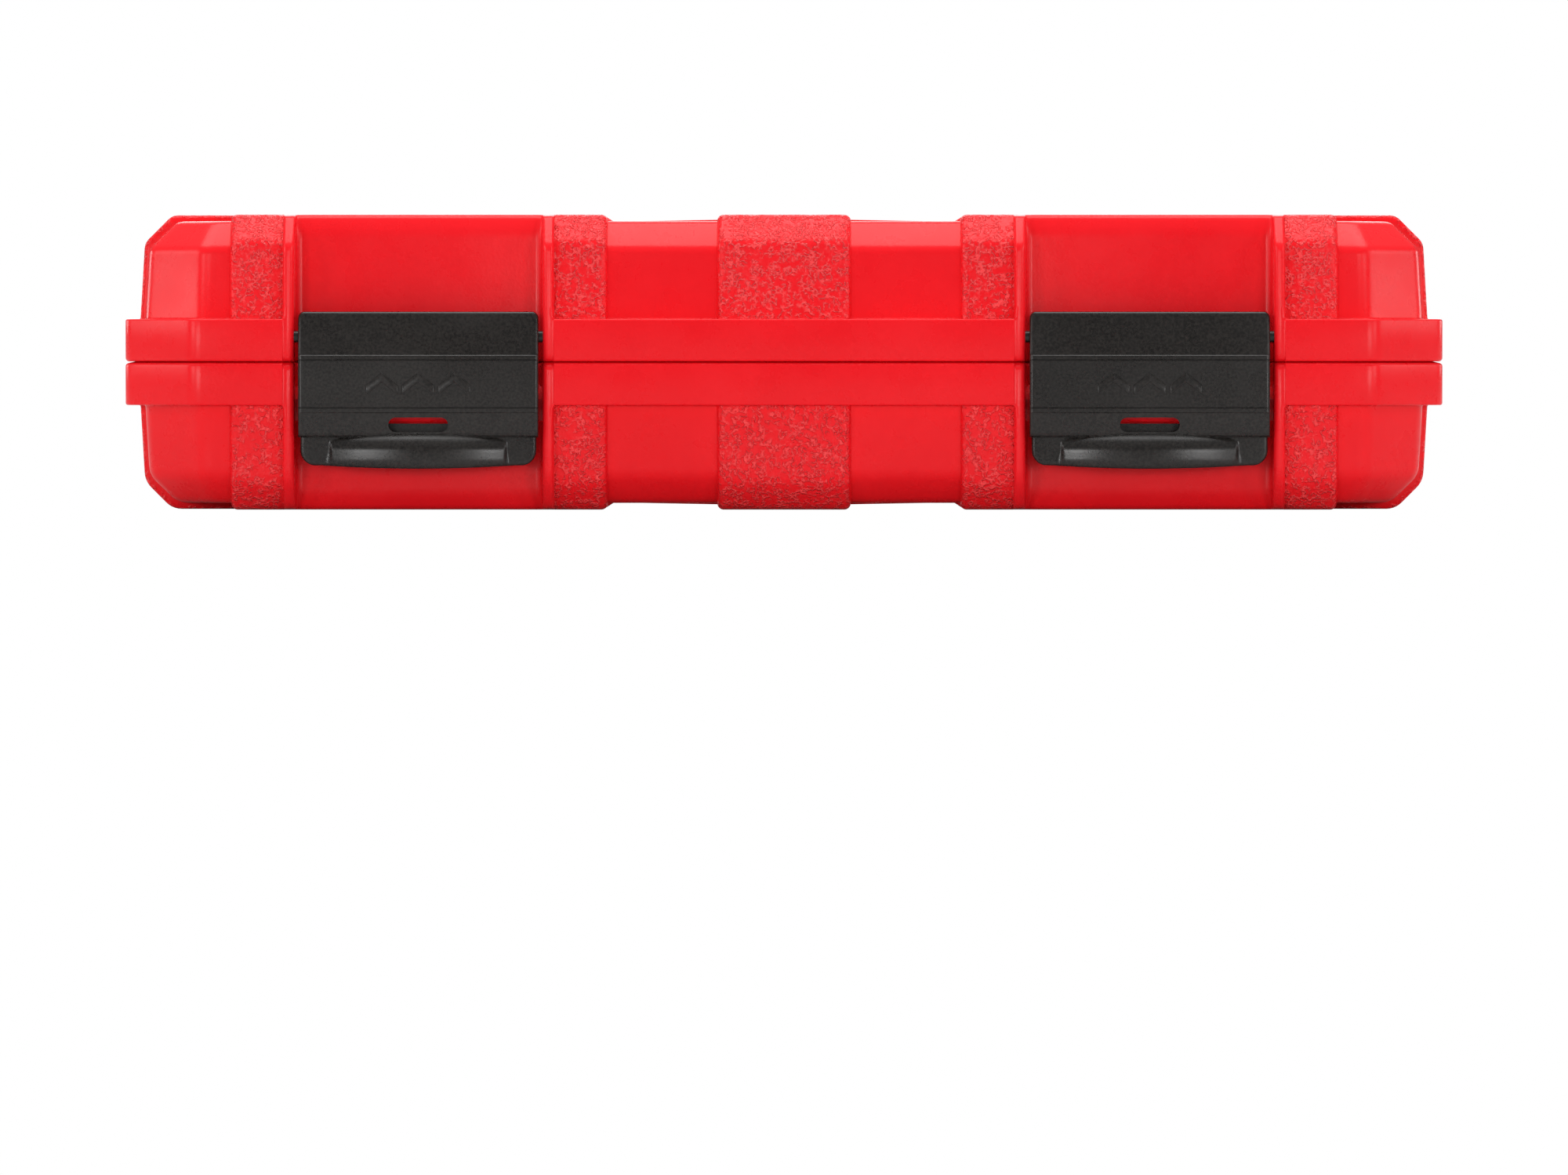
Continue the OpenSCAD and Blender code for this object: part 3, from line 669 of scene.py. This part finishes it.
def latch_face(u, z):
    """Front surface of a latch, as (x, y) at a width share u and a height z from the seam."""
    half = PLATE_HALF if z > TAB_TOP else TAB_HALF
    corner, end = (TOP_CORNER, LATCH_TOP) if z > 0 else (TAB_CORNER, latch_low_edge(u))
    over = corner - abs(end - z)
    if over > 0 and (z > 0 or z < TAB_TOP):
        half -= corner - math.sqrt(max(0.0, corner * corner - min(over, corner) ** 2))
    x = u * half
    heights, depths = zip(*FACETS[::-1])
    y = float(np.interp(z, heights, depths))
    if z < PULL_TOP + 6:
        rim = float(np.clip((PULL_HALF + 0.6 - abs(x)) / 1.1, 0, 1))
        rim = rim * rim * (3 - 2 * rim)
        y = min(y, y + (pull_face(x, z) - y) * rim)
    inset = min(half - abs(x), abs(LATCH_TOP - z), abs(z - latch_low_edge(u)))
    if inset < PLATE_EDGE:
        y += PLATE_EDGE - math.sqrt(max(0.0, PLATE_EDGE ** 2 - (PLATE_EDGE - inset) ** 2))
    return x, FRONT + y


def pull_face(x, z):
    """Depth of the bowed finger pull, whose rounded top leans back into the plate."""
    y = -PULL_OUT + BOW_R - math.sqrt(BOW_R ** 2 - x * x)
    y += PULL_CURVE * max(0.0, z - PULL_TOP) ** 2
    return y + float(np.interp(z, [LATCH_LOW, LATCH_LOW + 2], [0.35, 0]))


def latch_low_edge(u):
    """The tab's lower edge bows down a little in the middle."""
    return LATCH_LOW + 0.9 * min(1.0, u * u * 1.15) - 0.3


def latch_rows():
    """Heights of the latch's straight mesh rows, dense where its face steps."""
    fixed = {round(z, 3) for z, _ in FACETS if z > STRAIGHT_END}
    corner = [LATCH_TOP - TOP_CORNER * (1 - math.sin(a)) for a in np.linspace(0, math.pi / 2, 8)]
    fixed |= {round(z, 3) for z in corner}
    fine = np.concatenate([np.arange(-22.8, -20, 0.2), np.arange(STRAIGHT_END, LATCH_TOP, 0.8)])
    between = {round(z, 3) for z in fine if min(abs(z - f) for f in fixed) > 0.09}
    return sorted(fixed | between, reverse=True)


def latch_shares():
    """Width shares of the latch's mesh columns, dense at its rolled edges and at the pull's sides."""
    dense = [1 - 0.027 * (1 - math.sin(a)) for a in np.linspace(0, math.pi / 2, 7)]
    dense += [(PULL_HALF + 0.2 * k + 0.1) / TAB_HALF for k in range(-4, 4)]
    shares = {round(float(u), 4) for u in np.linspace(-1, 1, 91)}
    return sorted(shares | {round(side * u, 4) for side in (-1, 1) for u in dense})


def latch_skin():
    """Mesh of a latch's front, with its rows from top to bottom."""
    shares = latch_shares()
    low_edge = [latch_low_edge(u) for u in shares]
    heights = [[z] * len(shares) for z in latch_rows()]
    for a in np.linspace(0, math.pi / 2, 9)[1:]:
        heights.append([STRAIGHT_END + (low - STRAIGHT_END) * math.sin(a) for low in low_edge])
    bm = bmesh.new()
    rows = []
    for row in heights:
        rows.append([bm.verts.new((*latch_face(u, z), z)) for u, z in zip(shares, row)])
    loft(bm, rows, closed_rows=False)
    bmesh.ops.remove_doubles(bm, verts=bm.verts, dist=0.01)
    return bm


def slot_outline(cx, cz, half, height, count=9):
    """Slot with round ends, as (x, z) points."""
    r = height / 2
    right = [(cx + half - r + r * math.cos(a), cz + r * math.sin(a))
             for a in np.linspace(-math.pi / 2, math.pi / 2, count)]
    left = [(cx - half + r + r * math.cos(a), cz + r * math.sin(a))
            for a in np.linspace(math.pi / 2, 1.5 * math.pi, count)]
    return right + left


def chevron(bm, cx, cz, y, half=4.6, rise=3.6, stroke=2.73, out=0.3, bevel=0.18):
    """Raised upward chevron with bevelled edges, on a face at y."""
    rings = []
    for inset, depth in ((0, y + 0.3), (0, y - out + bevel), (bevel, y - out)):
        across = [(-half + inset, 0), (0, rise), (half - inset, 0)]
        low, high = inset * 1.2, stroke - inset * 1.2
        outline = [(x, z + low) for x, z in across] + [(x, z + high) for x, z in across[::-1]]
        rings.append([bm.verts.new((cx + x, depth, cz + z)) for x, z in outline])
    loft(bm, rings)
    for ring in (rings[0], rings[-1]):
        bm.faces.new((ring[0], ring[1], ring[4], ring[5]))
        bm.faces.new((ring[1], ring[2], ring[3], ring[4]))


def latch_plate(name, side):
    """Bent plate of a snap latch, with its slot and its bowed pull."""
    bm = latch_skin()
    bmesh.ops.translate(bm, verts=bm.verts, vec=(side * LATCH_X, 0, SEAM))
    plate = make_object(f"{name}_plate", bm, name, latch_plastic, 40)
    if np.mean([p.normal.y for p in plate.data.polygons]) > 0:
        plate.data.flip_normals()
    solid = plate.modifiers.new("thickness", "SOLIDIFY")
    solid.thickness = PLATE_T * MM
    solid.offset = -1
    solid.use_even_offset = False
    apply_modifiers(plate)
    slot = slot_outline(side * LATCH_X, SEAM - 18, 8.6, 4.2)
    subtract(plate, [cutter("slot", slot, FRONT - 5, FRONT + 8)])
    plate.data.set_sharp_from_angle(angle=math.radians(40))
    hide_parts(name)


def latch_back(name, side):
    """What is moulded on a latch's plate: hooks, pivot barrel with its stubs, chevrons and stiffeners."""
    # (depth behind the flange's face, height from the seam)
    hook = [(0.9, -15.7), (2.4, -16.2), (5.2, -17.4), (5.3, -18.2), (3.6, -20.4), (0.9, -21.6)]
    nose = [(4.6, -17.6), (5.3, -17.9), (5.3, -18.4), (4.6, -20.4)]
    stiffener = [(1.2, 12), (5.2, 9.5), (4.4, -2), (1.2, -14)]
    barrel = arc(PIVOT_Y - FRONT, PIVOT_UP, 3.1, 0, 345, 24)
    stub = arc(PIVOT_Y - FRONT, PIVOT_UP, 1.7, 0, 337.5, 16)
    parts = [(nose, -HOOK_IN, HOOK_IN), (barrel, -BARREL_HALF, BARREL_HALF)]
    parts += [(hook, -HOOK_OUT, -HOOK_IN), (hook, HOOK_IN, HOOK_OUT)]
    parts += [(stub, -STUB_END, -BARREL_HALF), (stub, BARREL_HALF, STUB_END)]
    parts += [(stiffener, x - 0.8, x + 0.8) for x in (-20, 20)]
    bm = bmesh.new()
    for outline, low, high in parts:
        prism(bm, [(FRONT + y, z) for y, z in outline], low, high)
    for x in (-10.4, 0, 10.4):
        chevron(bm, x, -9.3, FRONT - 0.95)
    bmesh.ops.translate(bm, verts=bm.verts, vec=(side * LATCH_X, 0, SEAM))
    back = make_object(f"{name}_hook", bm, name, latch_plastic, 40)
    round_edges(back, 0.25, 2, 40)


# ---------- Materials ----------

def new_material(name):
    """Node material with a principled shader: the material, its node tree and the shader."""
    material = bpy.data.materials.new(name)
    material.use_nodes = True
    tree = material.node_tree
    return material, tree, tree.nodes["Principled BSDF"]


def node(tree, kind, **settings):
    made = tree.nodes.new(kind)
    for key, value in settings.items():
        setattr(made, key, value)
    return made


def object_coordinates(tree):
    return node(tree, "ShaderNodeTexCoord").outputs["Object"]


def noise(tree, coordinates, scale, detail, rough=0.5):
    made = node(tree, "ShaderNodeTexNoise")
    made.inputs["Scale"].default_value = scale
    made.inputs["Detail"].default_value = detail
    made.inputs["Roughness"].default_value = rough
    feed(tree, made.inputs["Vector"], coordinates)
    return made.outputs["Fac"]


def ramp(tree, value, low, high, out_low=0.0, out_high=1.0):
    """Maps a value from [low, high] to [out_low, out_high], smoothly."""
    made = node(tree, "ShaderNodeMapRange", interpolation_type="SMOOTHSTEP")
    names = ("From Min", "From Max", "To Min", "To Max")
    for name, number in zip(names, (low, high, out_low, out_high)):
        made.inputs[name].default_value = number
    feed(tree, made.inputs["Value"], value)
    return made.outputs["Result"]


def feed(tree, socket, value):
    """Gives an input a node's output, a number or a colour."""
    if isinstance(value, bpy.types.NodeSocket):
        tree.links.new(value, socket)
    else:
        socket.default_value = (*value, 1) if isinstance(value, tuple) else value


def maths(tree, operation, a, b=0.5):
    made = node(tree, "ShaderNodeMath", operation=operation)
    feed(tree, made.inputs[0], a)
    feed(tree, made.inputs[1], b)
    return made.outputs[0]


def mix_colours(tree, factor, colour_a, colour_b):
    made = node(tree, "ShaderNodeMix", data_type="RGBA")
    feed(tree, made.inputs["Factor"], factor)
    feed(tree, made.inputs["A"], colour_a)
    feed(tree, made.inputs["B"], colour_b)
    return made.outputs["Result"]


def bump(tree, height, distance, strength=1.0, below=None):
    made = node(tree, "ShaderNodeBump")
    made.inputs["Distance"].default_value = distance
    made.inputs["Strength"].default_value = strength
    feed(tree, made.inputs["Height"], height)
    if below is not None:
        feed(tree, made.inputs["Normal"], below)
    return made.outputs["Normal"]


def leather_height(tree, coordinates):
    """Moulded leather grain: short winding ridges on a softly uneven ground."""
    value = noise(tree, coordinates, 800, 0.8)
    away = maths(tree, "ABSOLUTE", maths(tree, "SUBTRACT", value, 0.5))
    ridges = ramp(tree, away, 0.0, 0.14, 1, 0)
    broken = ramp(tree, noise(tree, coordinates, 480, 1), 0.36, 0.58)
    soft = noise(tree, coordinates, 650, 2)
    ridges = maths(tree, "MULTIPLY", ridges, broken)
    return maths(tree, "ADD", ridges, maths(tree, "MULTIPLY", soft, 0.5))


def case_material(name, fine_grain):
    """Red satin plastic; vertices with a grain share get the leather grain, whose ridge tops carry a
    painted highlight.
    """
    material, tree, shader = new_material(name)
    coordinates = object_coordinates(tree)
    share = node(tree, "ShaderNodeAttribute", attribute_name="grain").outputs["Fac"]
    leather = maths(tree, "MULTIPLY", leather_height(tree, coordinates), ramp(tree, share, 0.35, 0.95))
    cloudy = ramp(tree, noise(tree, coordinates, 18, 4, 0.6), 0.3, 0.7)
    ground = mix_colours(tree, cloudy, (0.84, 0.007, 0.013), (0.90, 0.010, 0.017))
    # Painted highlight: the grain's ridge tops are mixed towards a pale pink red in place of the sheen
    # that lights would give them.
    painted_ridge_highlight = ramp(tree, leather, 0.15, 1.1)
    feed(tree, shader.inputs["Base Color"], mix_colours(tree, painted_ridge_highlight, ground, (0.98, 0.06, 0.065)))
    satin = ramp(tree, noise(tree, coordinates, 90, 5, 0.65), 0.25, 0.75, 0.25, 0.32)
    feed(tree, shader.inputs["Roughness"], satin)
    feed(tree, shader.inputs["Specular IOR Level"], 0.2)
    ripple = bump(tree, noise(tree, coordinates, 45, 2), 0.0006, 0.25)
    fine = bump(tree, noise(tree, coordinates, 1400, 2), 0.00006, fine_grain, ripple)
    feed(tree, shader.inputs["Normal"], bump(tree, leather, 0.0004, 1.0, fine))
    return material


def latch_material():
    """Near-black plastic with a fine moulded grain and slightly dusty, uneven gloss."""
    material, tree, shader = new_material("latch_plastic")
    coordinates = object_coordinates(tree)
    speckle = maths(tree, "MULTIPLY", noise(tree, coordinates, 1300, 2, 0.6), 0.8)
    clouds = maths(tree, "MULTIPLY", noise(tree, coordinates, 30, 2), 0.2)
    dust = ramp(tree, maths(tree, "ADD", speckle, clouds), 0.3, 0.7)
    colour = mix_colours(tree, dust, (0.007, 0.006, 0.0055), (0.0235, 0.0205, 0.0185))
    feed(tree, shader.inputs["Base Color"], colour)
    feed(tree, shader.inputs["Specular IOR Level"], 0.36)
    gloss = ramp(tree, noise(tree, coordinates, 50, 2), 0.3, 0.7, 0.25, 0.31)
    feed(tree, shader.inputs["Roughness"], gloss)
    pebble = bump(tree, noise(tree, coordinates, 1300, 2), 0.00005, 0.3)
    feed(tree, shader.inputs["Normal"], pebble)
    return material


def metal_material(name, colour, rough_low, rough_high, grain_scale=1200):
    """Metal with a fine grain and uneven polish."""
    material, tree, shader = new_material(name)
    coordinates = object_coordinates(tree)
    grain = noise(tree, coordinates, grain_scale, 4, 0.6)
    smudge = noise(tree, coordinates, 35, 4, 0.6)
    feed(tree, shader.inputs["Base Color"], colour)
    feed(tree, shader.inputs["Metallic"], 1.0)
    both = maths(tree, "ADD", maths(tree, "MULTIPLY", grain, 0.5), maths(tree, "MULTIPLY", smudge, 0.5))
    feed(tree, shader.inputs["Roughness"], ramp(tree, both, 0.3, 0.7, rough_low, rough_high))
    feed(tree, shader.inputs["Normal"], bump(tree, grain, 0.00001, 0.4))
    return material


def rubber_material(name, colour):
    """Dull rubber with a little dust."""
    material, tree, shader = new_material(name)
    coordinates = object_coordinates(tree)
    dust = ramp(tree, noise(tree, coordinates, 70, 5, 0.7), 0.4, 0.8)
    lighter = tuple(c * 1.7 + 0.004 for c in colour)
    feed(tree, shader.inputs["Base Color"], mix_colours(tree, dust, colour, lighter))
    feed(tree, shader.inputs["Roughness"], 0.62)
    feed(tree, shader.inputs["Normal"], bump(tree, noise(tree, coordinates, 1100, 3), 0.0001, 0.6))
    return material


case_red = case_material("case_red", 0.5)
tray_red = case_material("tray_red", 0.8)
latch_plastic = latch_material()
steel = metal_material("steel", (0.42, 0.42, 0.43), 0.30, 0.45)
chrome = metal_material("chrome", (0.78, 0.79, 0.81), 0.08, 0.16)
satin_chrome = metal_material("satin_chrome", (0.70, 0.71, 0.73), 0.26, 0.31, 3600)
grip_rubber = rubber_material("grip_rubber", (0.012, 0.012, 0.013))
insert_rubber = rubber_material("insert_rubber", (0.010, 0.010, 0.010))


# ---------- The case ----------

def build_half(name, cad_node, body, edge_reach, lip):
    """One half of the case, with its feet and its hinge knuckles."""
    on_lid = body == "lid"
    bm = half_shell(edge_reach, lip)
    place_half(bm, on_lid)
    shell = make_object(name, bm, body, case_red, 32)
    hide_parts(cad_node)
    feet = [0] if on_lid else [-FOOT_X, FOOT_X]
    own, facing = ([0], [-1, 1]) if on_lid else ([-1, 1], [0])
    hinges = {"left": -HINGE_X, "right": HINGE_X}
    subtract(shell, [lip_pocket(x + i * KNUCKLE_PITCH, on_lid) for x in hinges.values() for i in facing])
    for k, x in enumerate(feet, 1):
        foot(f"{body}_foot_{k}", x, body, on_lid)
    for side_name, x in hinges.items():
        for k, i in enumerate(own, 1):
            knuckle(f"{body}_knuckle_{side_name}_{k}", x + i * KNUCKLE_PITCH, body, on_lid)


def catch_ridge(name, side):
    """Ridge on the base's recess floor that the latch snaps over."""
    floor = FRONT + RECESS_DEPTH
    nose = floor - 6.9
    outline = [(floor + 0.6, 6), (nose + 0.3, 10.6), (nose, 11.3), (nose, 15.9), (nose + 0.35, 16.8),
               (nose + 1, 17.2), (floor + 0.6, 17.2)]
    bm = bmesh.new()
    prism(bm, outline, side * LATCH_X - RECESS_HALF - 0.3, side * LATCH_X + RECESS_HALF + 0.3)
    place_half(bm, False)
    ridge = make_object(name, bm, "base", case_red, 30)


build_half("lid_outer_shell", "lid_shell", "lid", edge_reach=1.7, lip=0)
build_half("base_outer_shell", "base_shell", "base", edge_reach=2.6, lip=1.4)
for side_name, side in (("left", -1), ("right", 1)):
    latch_plate(f"latch_{side_name}", side)
    latch_back(f"latch_{side_name}", side)
    catch_ridge(f"base_catch_{side_name}", side)


# ---------- Tools ----------

SEGMENTS = 72  # a multiple of both a hexagon's and a square's corners
SIDES = {"hexagon": 6, "square": 4}
SQUARE_HALF = 6.43
SQUARE_DEPTH = 16


def ring_reach(shape, half, angle):
    """Distance from the axis at an angle, for a round ring or one with flats at the given half width."""
    if shape == "round":
        return half
    step = math.tau / SIDES[shape]
    start = step / 2 if shape == "square" else 0
    return half / math.cos((angle + start) % step - step / 2)


def turned(name, rings, centre, along_y, node_name, material=chrome):
    """Closed piece from (place along the axis, half width, shape) rings; it replaces a CAD node."""
    bm = bmesh.new()
    rows = []
    for place, half, shape in rings:
        row = []
        for k in range(SEGMENTS):
            angle = math.tau * k / SEGMENTS
            reach = ring_reach(shape, half, angle)
            aside, up = reach * math.sin(angle), reach * math.cos(angle)
            x, y = (aside, place) if along_y else (place, aside)
            row.append(bm.verts.new((centre[0] + x, centre[1] + y, centre[2] + up)))
        rows.append(row)
    loft(bm, rows + rows[:1])
    obj = make_object(name, bm, "base", material, 35)
    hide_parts(node_name)


def socket_rings(size, radius, length, hexagon_start, wide_bore=()):
    """Rings down a socket's outside and back through its hexagon, its bore and its square hole.

    wide_bore is where the wider room for a spark plug's insert starts, and its radius.
    """
    nose = min(radius, 0.66 * size + 1.15)
    flat = (size + 0.2) / 2
    bore = min(6, 0.45 * size)
    band = 0.14 * length
    shoulder = 0.6 * length
    outside = [(0, radius - 0.9), (0.25, radius - 0.3), (0.9, radius), (band, radius)]
    outside += [(band + 0.3, radius - 0.35), (band + 2.7, radius - 0.35), (band + 3, radius)]
    if nose < radius - 0.3:
        drop = radius - nose
        outside += [(shoulder - 0.2 - 0.4 * drop, radius), (shoulder - 0.3, nose + 0.25 * drop)]
        outside += [(shoulder, nose)]
    outside += [(length - 1, nose), (length - 0.3, nose - 0.25), (length, nose - 0.9)]
    rings = [(place, half, "round") for place, half in outside]
    rings += [(length, flat / math.cos(math.pi / 6) + 0.3, "round"), (length - 1, flat, "hexagon")]
    rings += [(hexagon_start, flat, "hexagon")]
    if wide_bore:
        start, wide = wide_bore
        rings += [(hexagon_start, wide, "round"), (start, wide, "round"), (start, bore, "round")]
    else:
        rings += [(hexagon_start, bore, "round")]
    rings += [(SQUARE_DEPTH, bore, "round"), (SQUARE_DEPTH, SQUARE_HALF, "square")]
    rings += [(0.8, SQUARE_HALF, "square"), (0, SQUARE_HALF + 0.4, "square")]
    return rings


def sockets():
    """Sockets of the sizes in their nodes' names, the spark plug sockets lying along X."""
    for name in sorted(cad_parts):
        if "socket_" not in name or not name.endswith("mm"):
            continue
        size = int(name.split("_")[-1][:-2])
        low, high = node_box(name)
        middle = (low + high) / 2
        radius = (high.z - low.z) / 2
        if name.startswith("spark"):
            rings = socket_rings(size, radius, high.x - low.x, 48, (20, size / 2 + 0.07))
            turned(f"{name}_body", rings, (low.x, middle.y, middle.z), False, name)
        else:
            length = high.y - low.y
            rings = socket_rings(size, radius, length, 0.52 * length)
            turned(f"{name}_body", rings, (middle.x, low.y, middle.z), True, name)


def ratchet_grip(core=5.0, waist=1.6, groove=0.8, pitch=6.0):
    """Waisted rubber grip with ring grooves along its waist."""
    low, high = node_box("ratchet_grip")
    length = high.x - low.x
    radius = (high.z - low.z) / 2
    narrow = radius - waist
    profile = [(0, core), (0, radius - 4), (1.4, radius - 2.2), (4, radius - 1), (14, radius)]
    profile.append((34, narrow))
    for place in np.arange(37, length - 54, pitch):
        profile += [(place, narrow), (place + 0.5, narrow - groove)]
        profile += [(place + 1.7, narrow - groove), (place + 2.2, narrow)]
    profile += [(length - 50, narrow), (length - 16, radius), (length - 0.8, radius)]
    profile += [(length, radius - 0.8), (length, core)]
    rings = [(place, half, "round") for place, half in profile]
    middle = (low + high) / 2
    turned("ratchet_grip_sleeve", rings, (low.x, middle.y, middle.z), False, "ratchet_grip",
           grip_rubber)


def button_spring(turns=4, steps=30, sides=10, wire=0.45):
    """Coil spring round the button's stem."""
    low, high = node_box("button_spring")
    axis = (low + high) / 2
    length = high.z - low.z
    radius = (high.x - low.x) / 2 - wire
    bm = bmesh.new()
    rows = []
    for k in range(turns * steps + 1):
        turn = math.tau * k / steps
        height = low.z + wire + (length - 2 * wire) * k / (turns * steps)
        row = []
        for i in range(sides):
            around = math.tau * i / sides
            reach = radius + wire * math.cos(around)
            x, y = axis.x + reach * math.cos(turn), axis.y + reach * math.sin(turn)
            row.append(bm.verts.new((x, y, height + wire * math.sin(around))))
        rows.append(row)
    loft(bm, rows)
    bm.faces.new(rows[0])
    bm.faces.new(rows[-1])
    obj = make_object("button_return_spring", bm, "drive", steel, 35)
    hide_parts("button_spring")
    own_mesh(obj)


sockets()
ratchet_grip()
button_spring()
SOFTENED = {
    "base_tray": 0.9, "lid_liner": 0.9, "ratchet_body": 0.4, "ratchet_cover": 0.4, "selector_lever": 0.4,
    "release_button": 0.4, "ratchet_end_cap": 0.4, "long_bar": 0.5, "short_bar": 0.5, "drive_adapter": 0.5,
}
for name, width in SOFTENED.items():
    bevel_edges(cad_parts[name], width, 2, 42)


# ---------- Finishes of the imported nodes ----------

FINISHES = {
    "base_tray": tray_red, "lid_liner": tray_red, "hinge_pin_left": steel, "hinge_pin_right": steel,
    "cover_screws": steel, "pawl_spring": steel, "ratchet_pawl": steel,
    "ratchet_body": satin_chrome, "ratchet_cover": satin_chrome,
}
for name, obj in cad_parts.items():
    finish = FINISHES.get(name, insert_rubber if "insert" in name else chrome)
    obj.data.materials.clear()
    obj.data.materials.append(finish)


# ---------- Stage, light and camera ----------

FLOOR_SIZE = 4  # in metres, like everything in this section
FLOOR_GREY = 0.6
CAMERA_DISTANCE = 4.0
AIM_DROP = 0.0647  # the picture's middle is this far below the seam


def split_by_camera(tree, seen, other, output):
    """Shows the camera one shader and everything else another."""
    path = node(tree, "ShaderNodeLightPath")
    mix = node(tree, "ShaderNodeMixShader")
    for socket, source in zip(mix.inputs, (path.outputs["Is Camera Ray"], other, seen)):
        feed(tree, socket, source)
    feed(tree, tree.nodes[output].inputs["Surface"], mix.outputs[0])


def stage_material():
    """Floor that is white like the backdrop for the camera, and a dimmer grey for everything else."""
    material, tree, shader = new_material("studio_white")
    feed(tree, shader.inputs["Base Color"], (FLOOR_GREY, FLOOR_GREY, FLOOR_GREY))
    feed(tree, shader.inputs["Roughness"], 0.9)
    feed(tree, shader.inputs["Specular IOR Level"], 0.1)
    seen = node(tree, "ShaderNodeEmission")
    split_by_camera(tree, seen.outputs[0], shader.outputs[0], "Material Output")
    return material


def studio_floor():
    """Square floor just below the object."""
    bm = bmesh.new()
    bmesh.ops.create_grid(bm, x_segments=1, y_segments=1, size=FLOOR_SIZE / 2)
    obj = link_mesh("studio_floor", bm)
    obj.data.materials.append(stage_material())
    obj.location.z = -0.0005


def area_light(name, location, target, size, power, size_y=None):
    """Square light, or a rectangular one if it has a size_y, that faces a target."""
    light = bpy.data.lights.new(name, "AREA")
    light.energy = power
    light.size = size
    if size_y:
        light.shape = "RECTANGLE"
        light.size_y = size_y
    obj = bpy.data.objects.new(name, light)
    obj.location = location
    direction = Vector(target) - Vector(location)
    obj.rotation_euler = direction.to_track_quat("-Z", "Y").to_euler()
    bpy.context.scene.collection.objects.link(obj)


def lights():
    """Soft light from above, strips all round, a little stronger on the left, and a fill from behind."""
    area_light("overhead", (0, 0.0, 1.2), (0, 0, 0.05), 1.6, 15, 0.7)
    for side, power in ((-1, 6.5), (1, 6.0)):
        area_light("front_strip", (side * 0.8, -1.9, 0.17), (0, -0.05, 0.04), 0.36, power, 0.32)
        area_light("corner_strip", (side * 1.8, -1.8, 0.4), (0, -0.05, 0.04), 0.45, power, 0.45)
        area_light("side_strip", (side * 1.5, -0.15, 0.45), (0, -0.05, 0.04), 0.7, 0.7 * power, 0.5)
        area_light("rear_strip", (side * 1.8, 1.5, 0.4), (0, 0.05, 0.04), 0.45, 0.7 * power, 0.45)
    area_light("back_fill", (0, 1.7, 0.8), (0, 0, 0.04), 1.2, 11)


def studio_world():
    """White backdrop for the camera; for everything else a dim room with a pale ceiling."""
    world = bpy.data.worlds.new("studio")
    world.use_nodes = True
    tree = world.node_tree
    seen = tree.nodes["Background"]
    ambient = node(tree, "ShaderNodeBackground")
    for background in (seen, ambient):
        feed(tree, background.inputs["Color"], (1, 1, 1))
    height = node(tree, "ShaderNodeSeparateXYZ")
    feed(tree, height.inputs[0], node(tree, "ShaderNodeTexCoord").outputs["Generated"])
    feed(tree, ambient.inputs["Strength"], ramp(tree, height.outputs["Z"], 0.15, 0.8, 0.08, 0.45))
    split_by_camera(tree, seen.outputs[0], ambient.outputs[0], "World Output")
    bpy.context.scene.world = world


def studio_camera():
    """Long lens in front of the case at the seam's height, tilted down a little."""
    data = bpy.data.cameras.new("camera")
    data.sensor_width = 36
    data.clip_end = 100
    data.lens = 320
    camera = bpy.data.objects.new("camera", data)
    camera.location = (0, FRONT * MM - CAMERA_DISTANCE, SEAM * MM)
    camera.rotation_euler = (math.pi / 2 - math.atan(AIM_DROP / CAMERA_DISTANCE), 0, 0)
    bpy.context.scene.collection.objects.link(camera)
    bpy.context.scene.camera = camera


studio_floor()
lights()
studio_world()
studio_camera()
bpy.context.scene.view_settings.view_transform = "Standard"
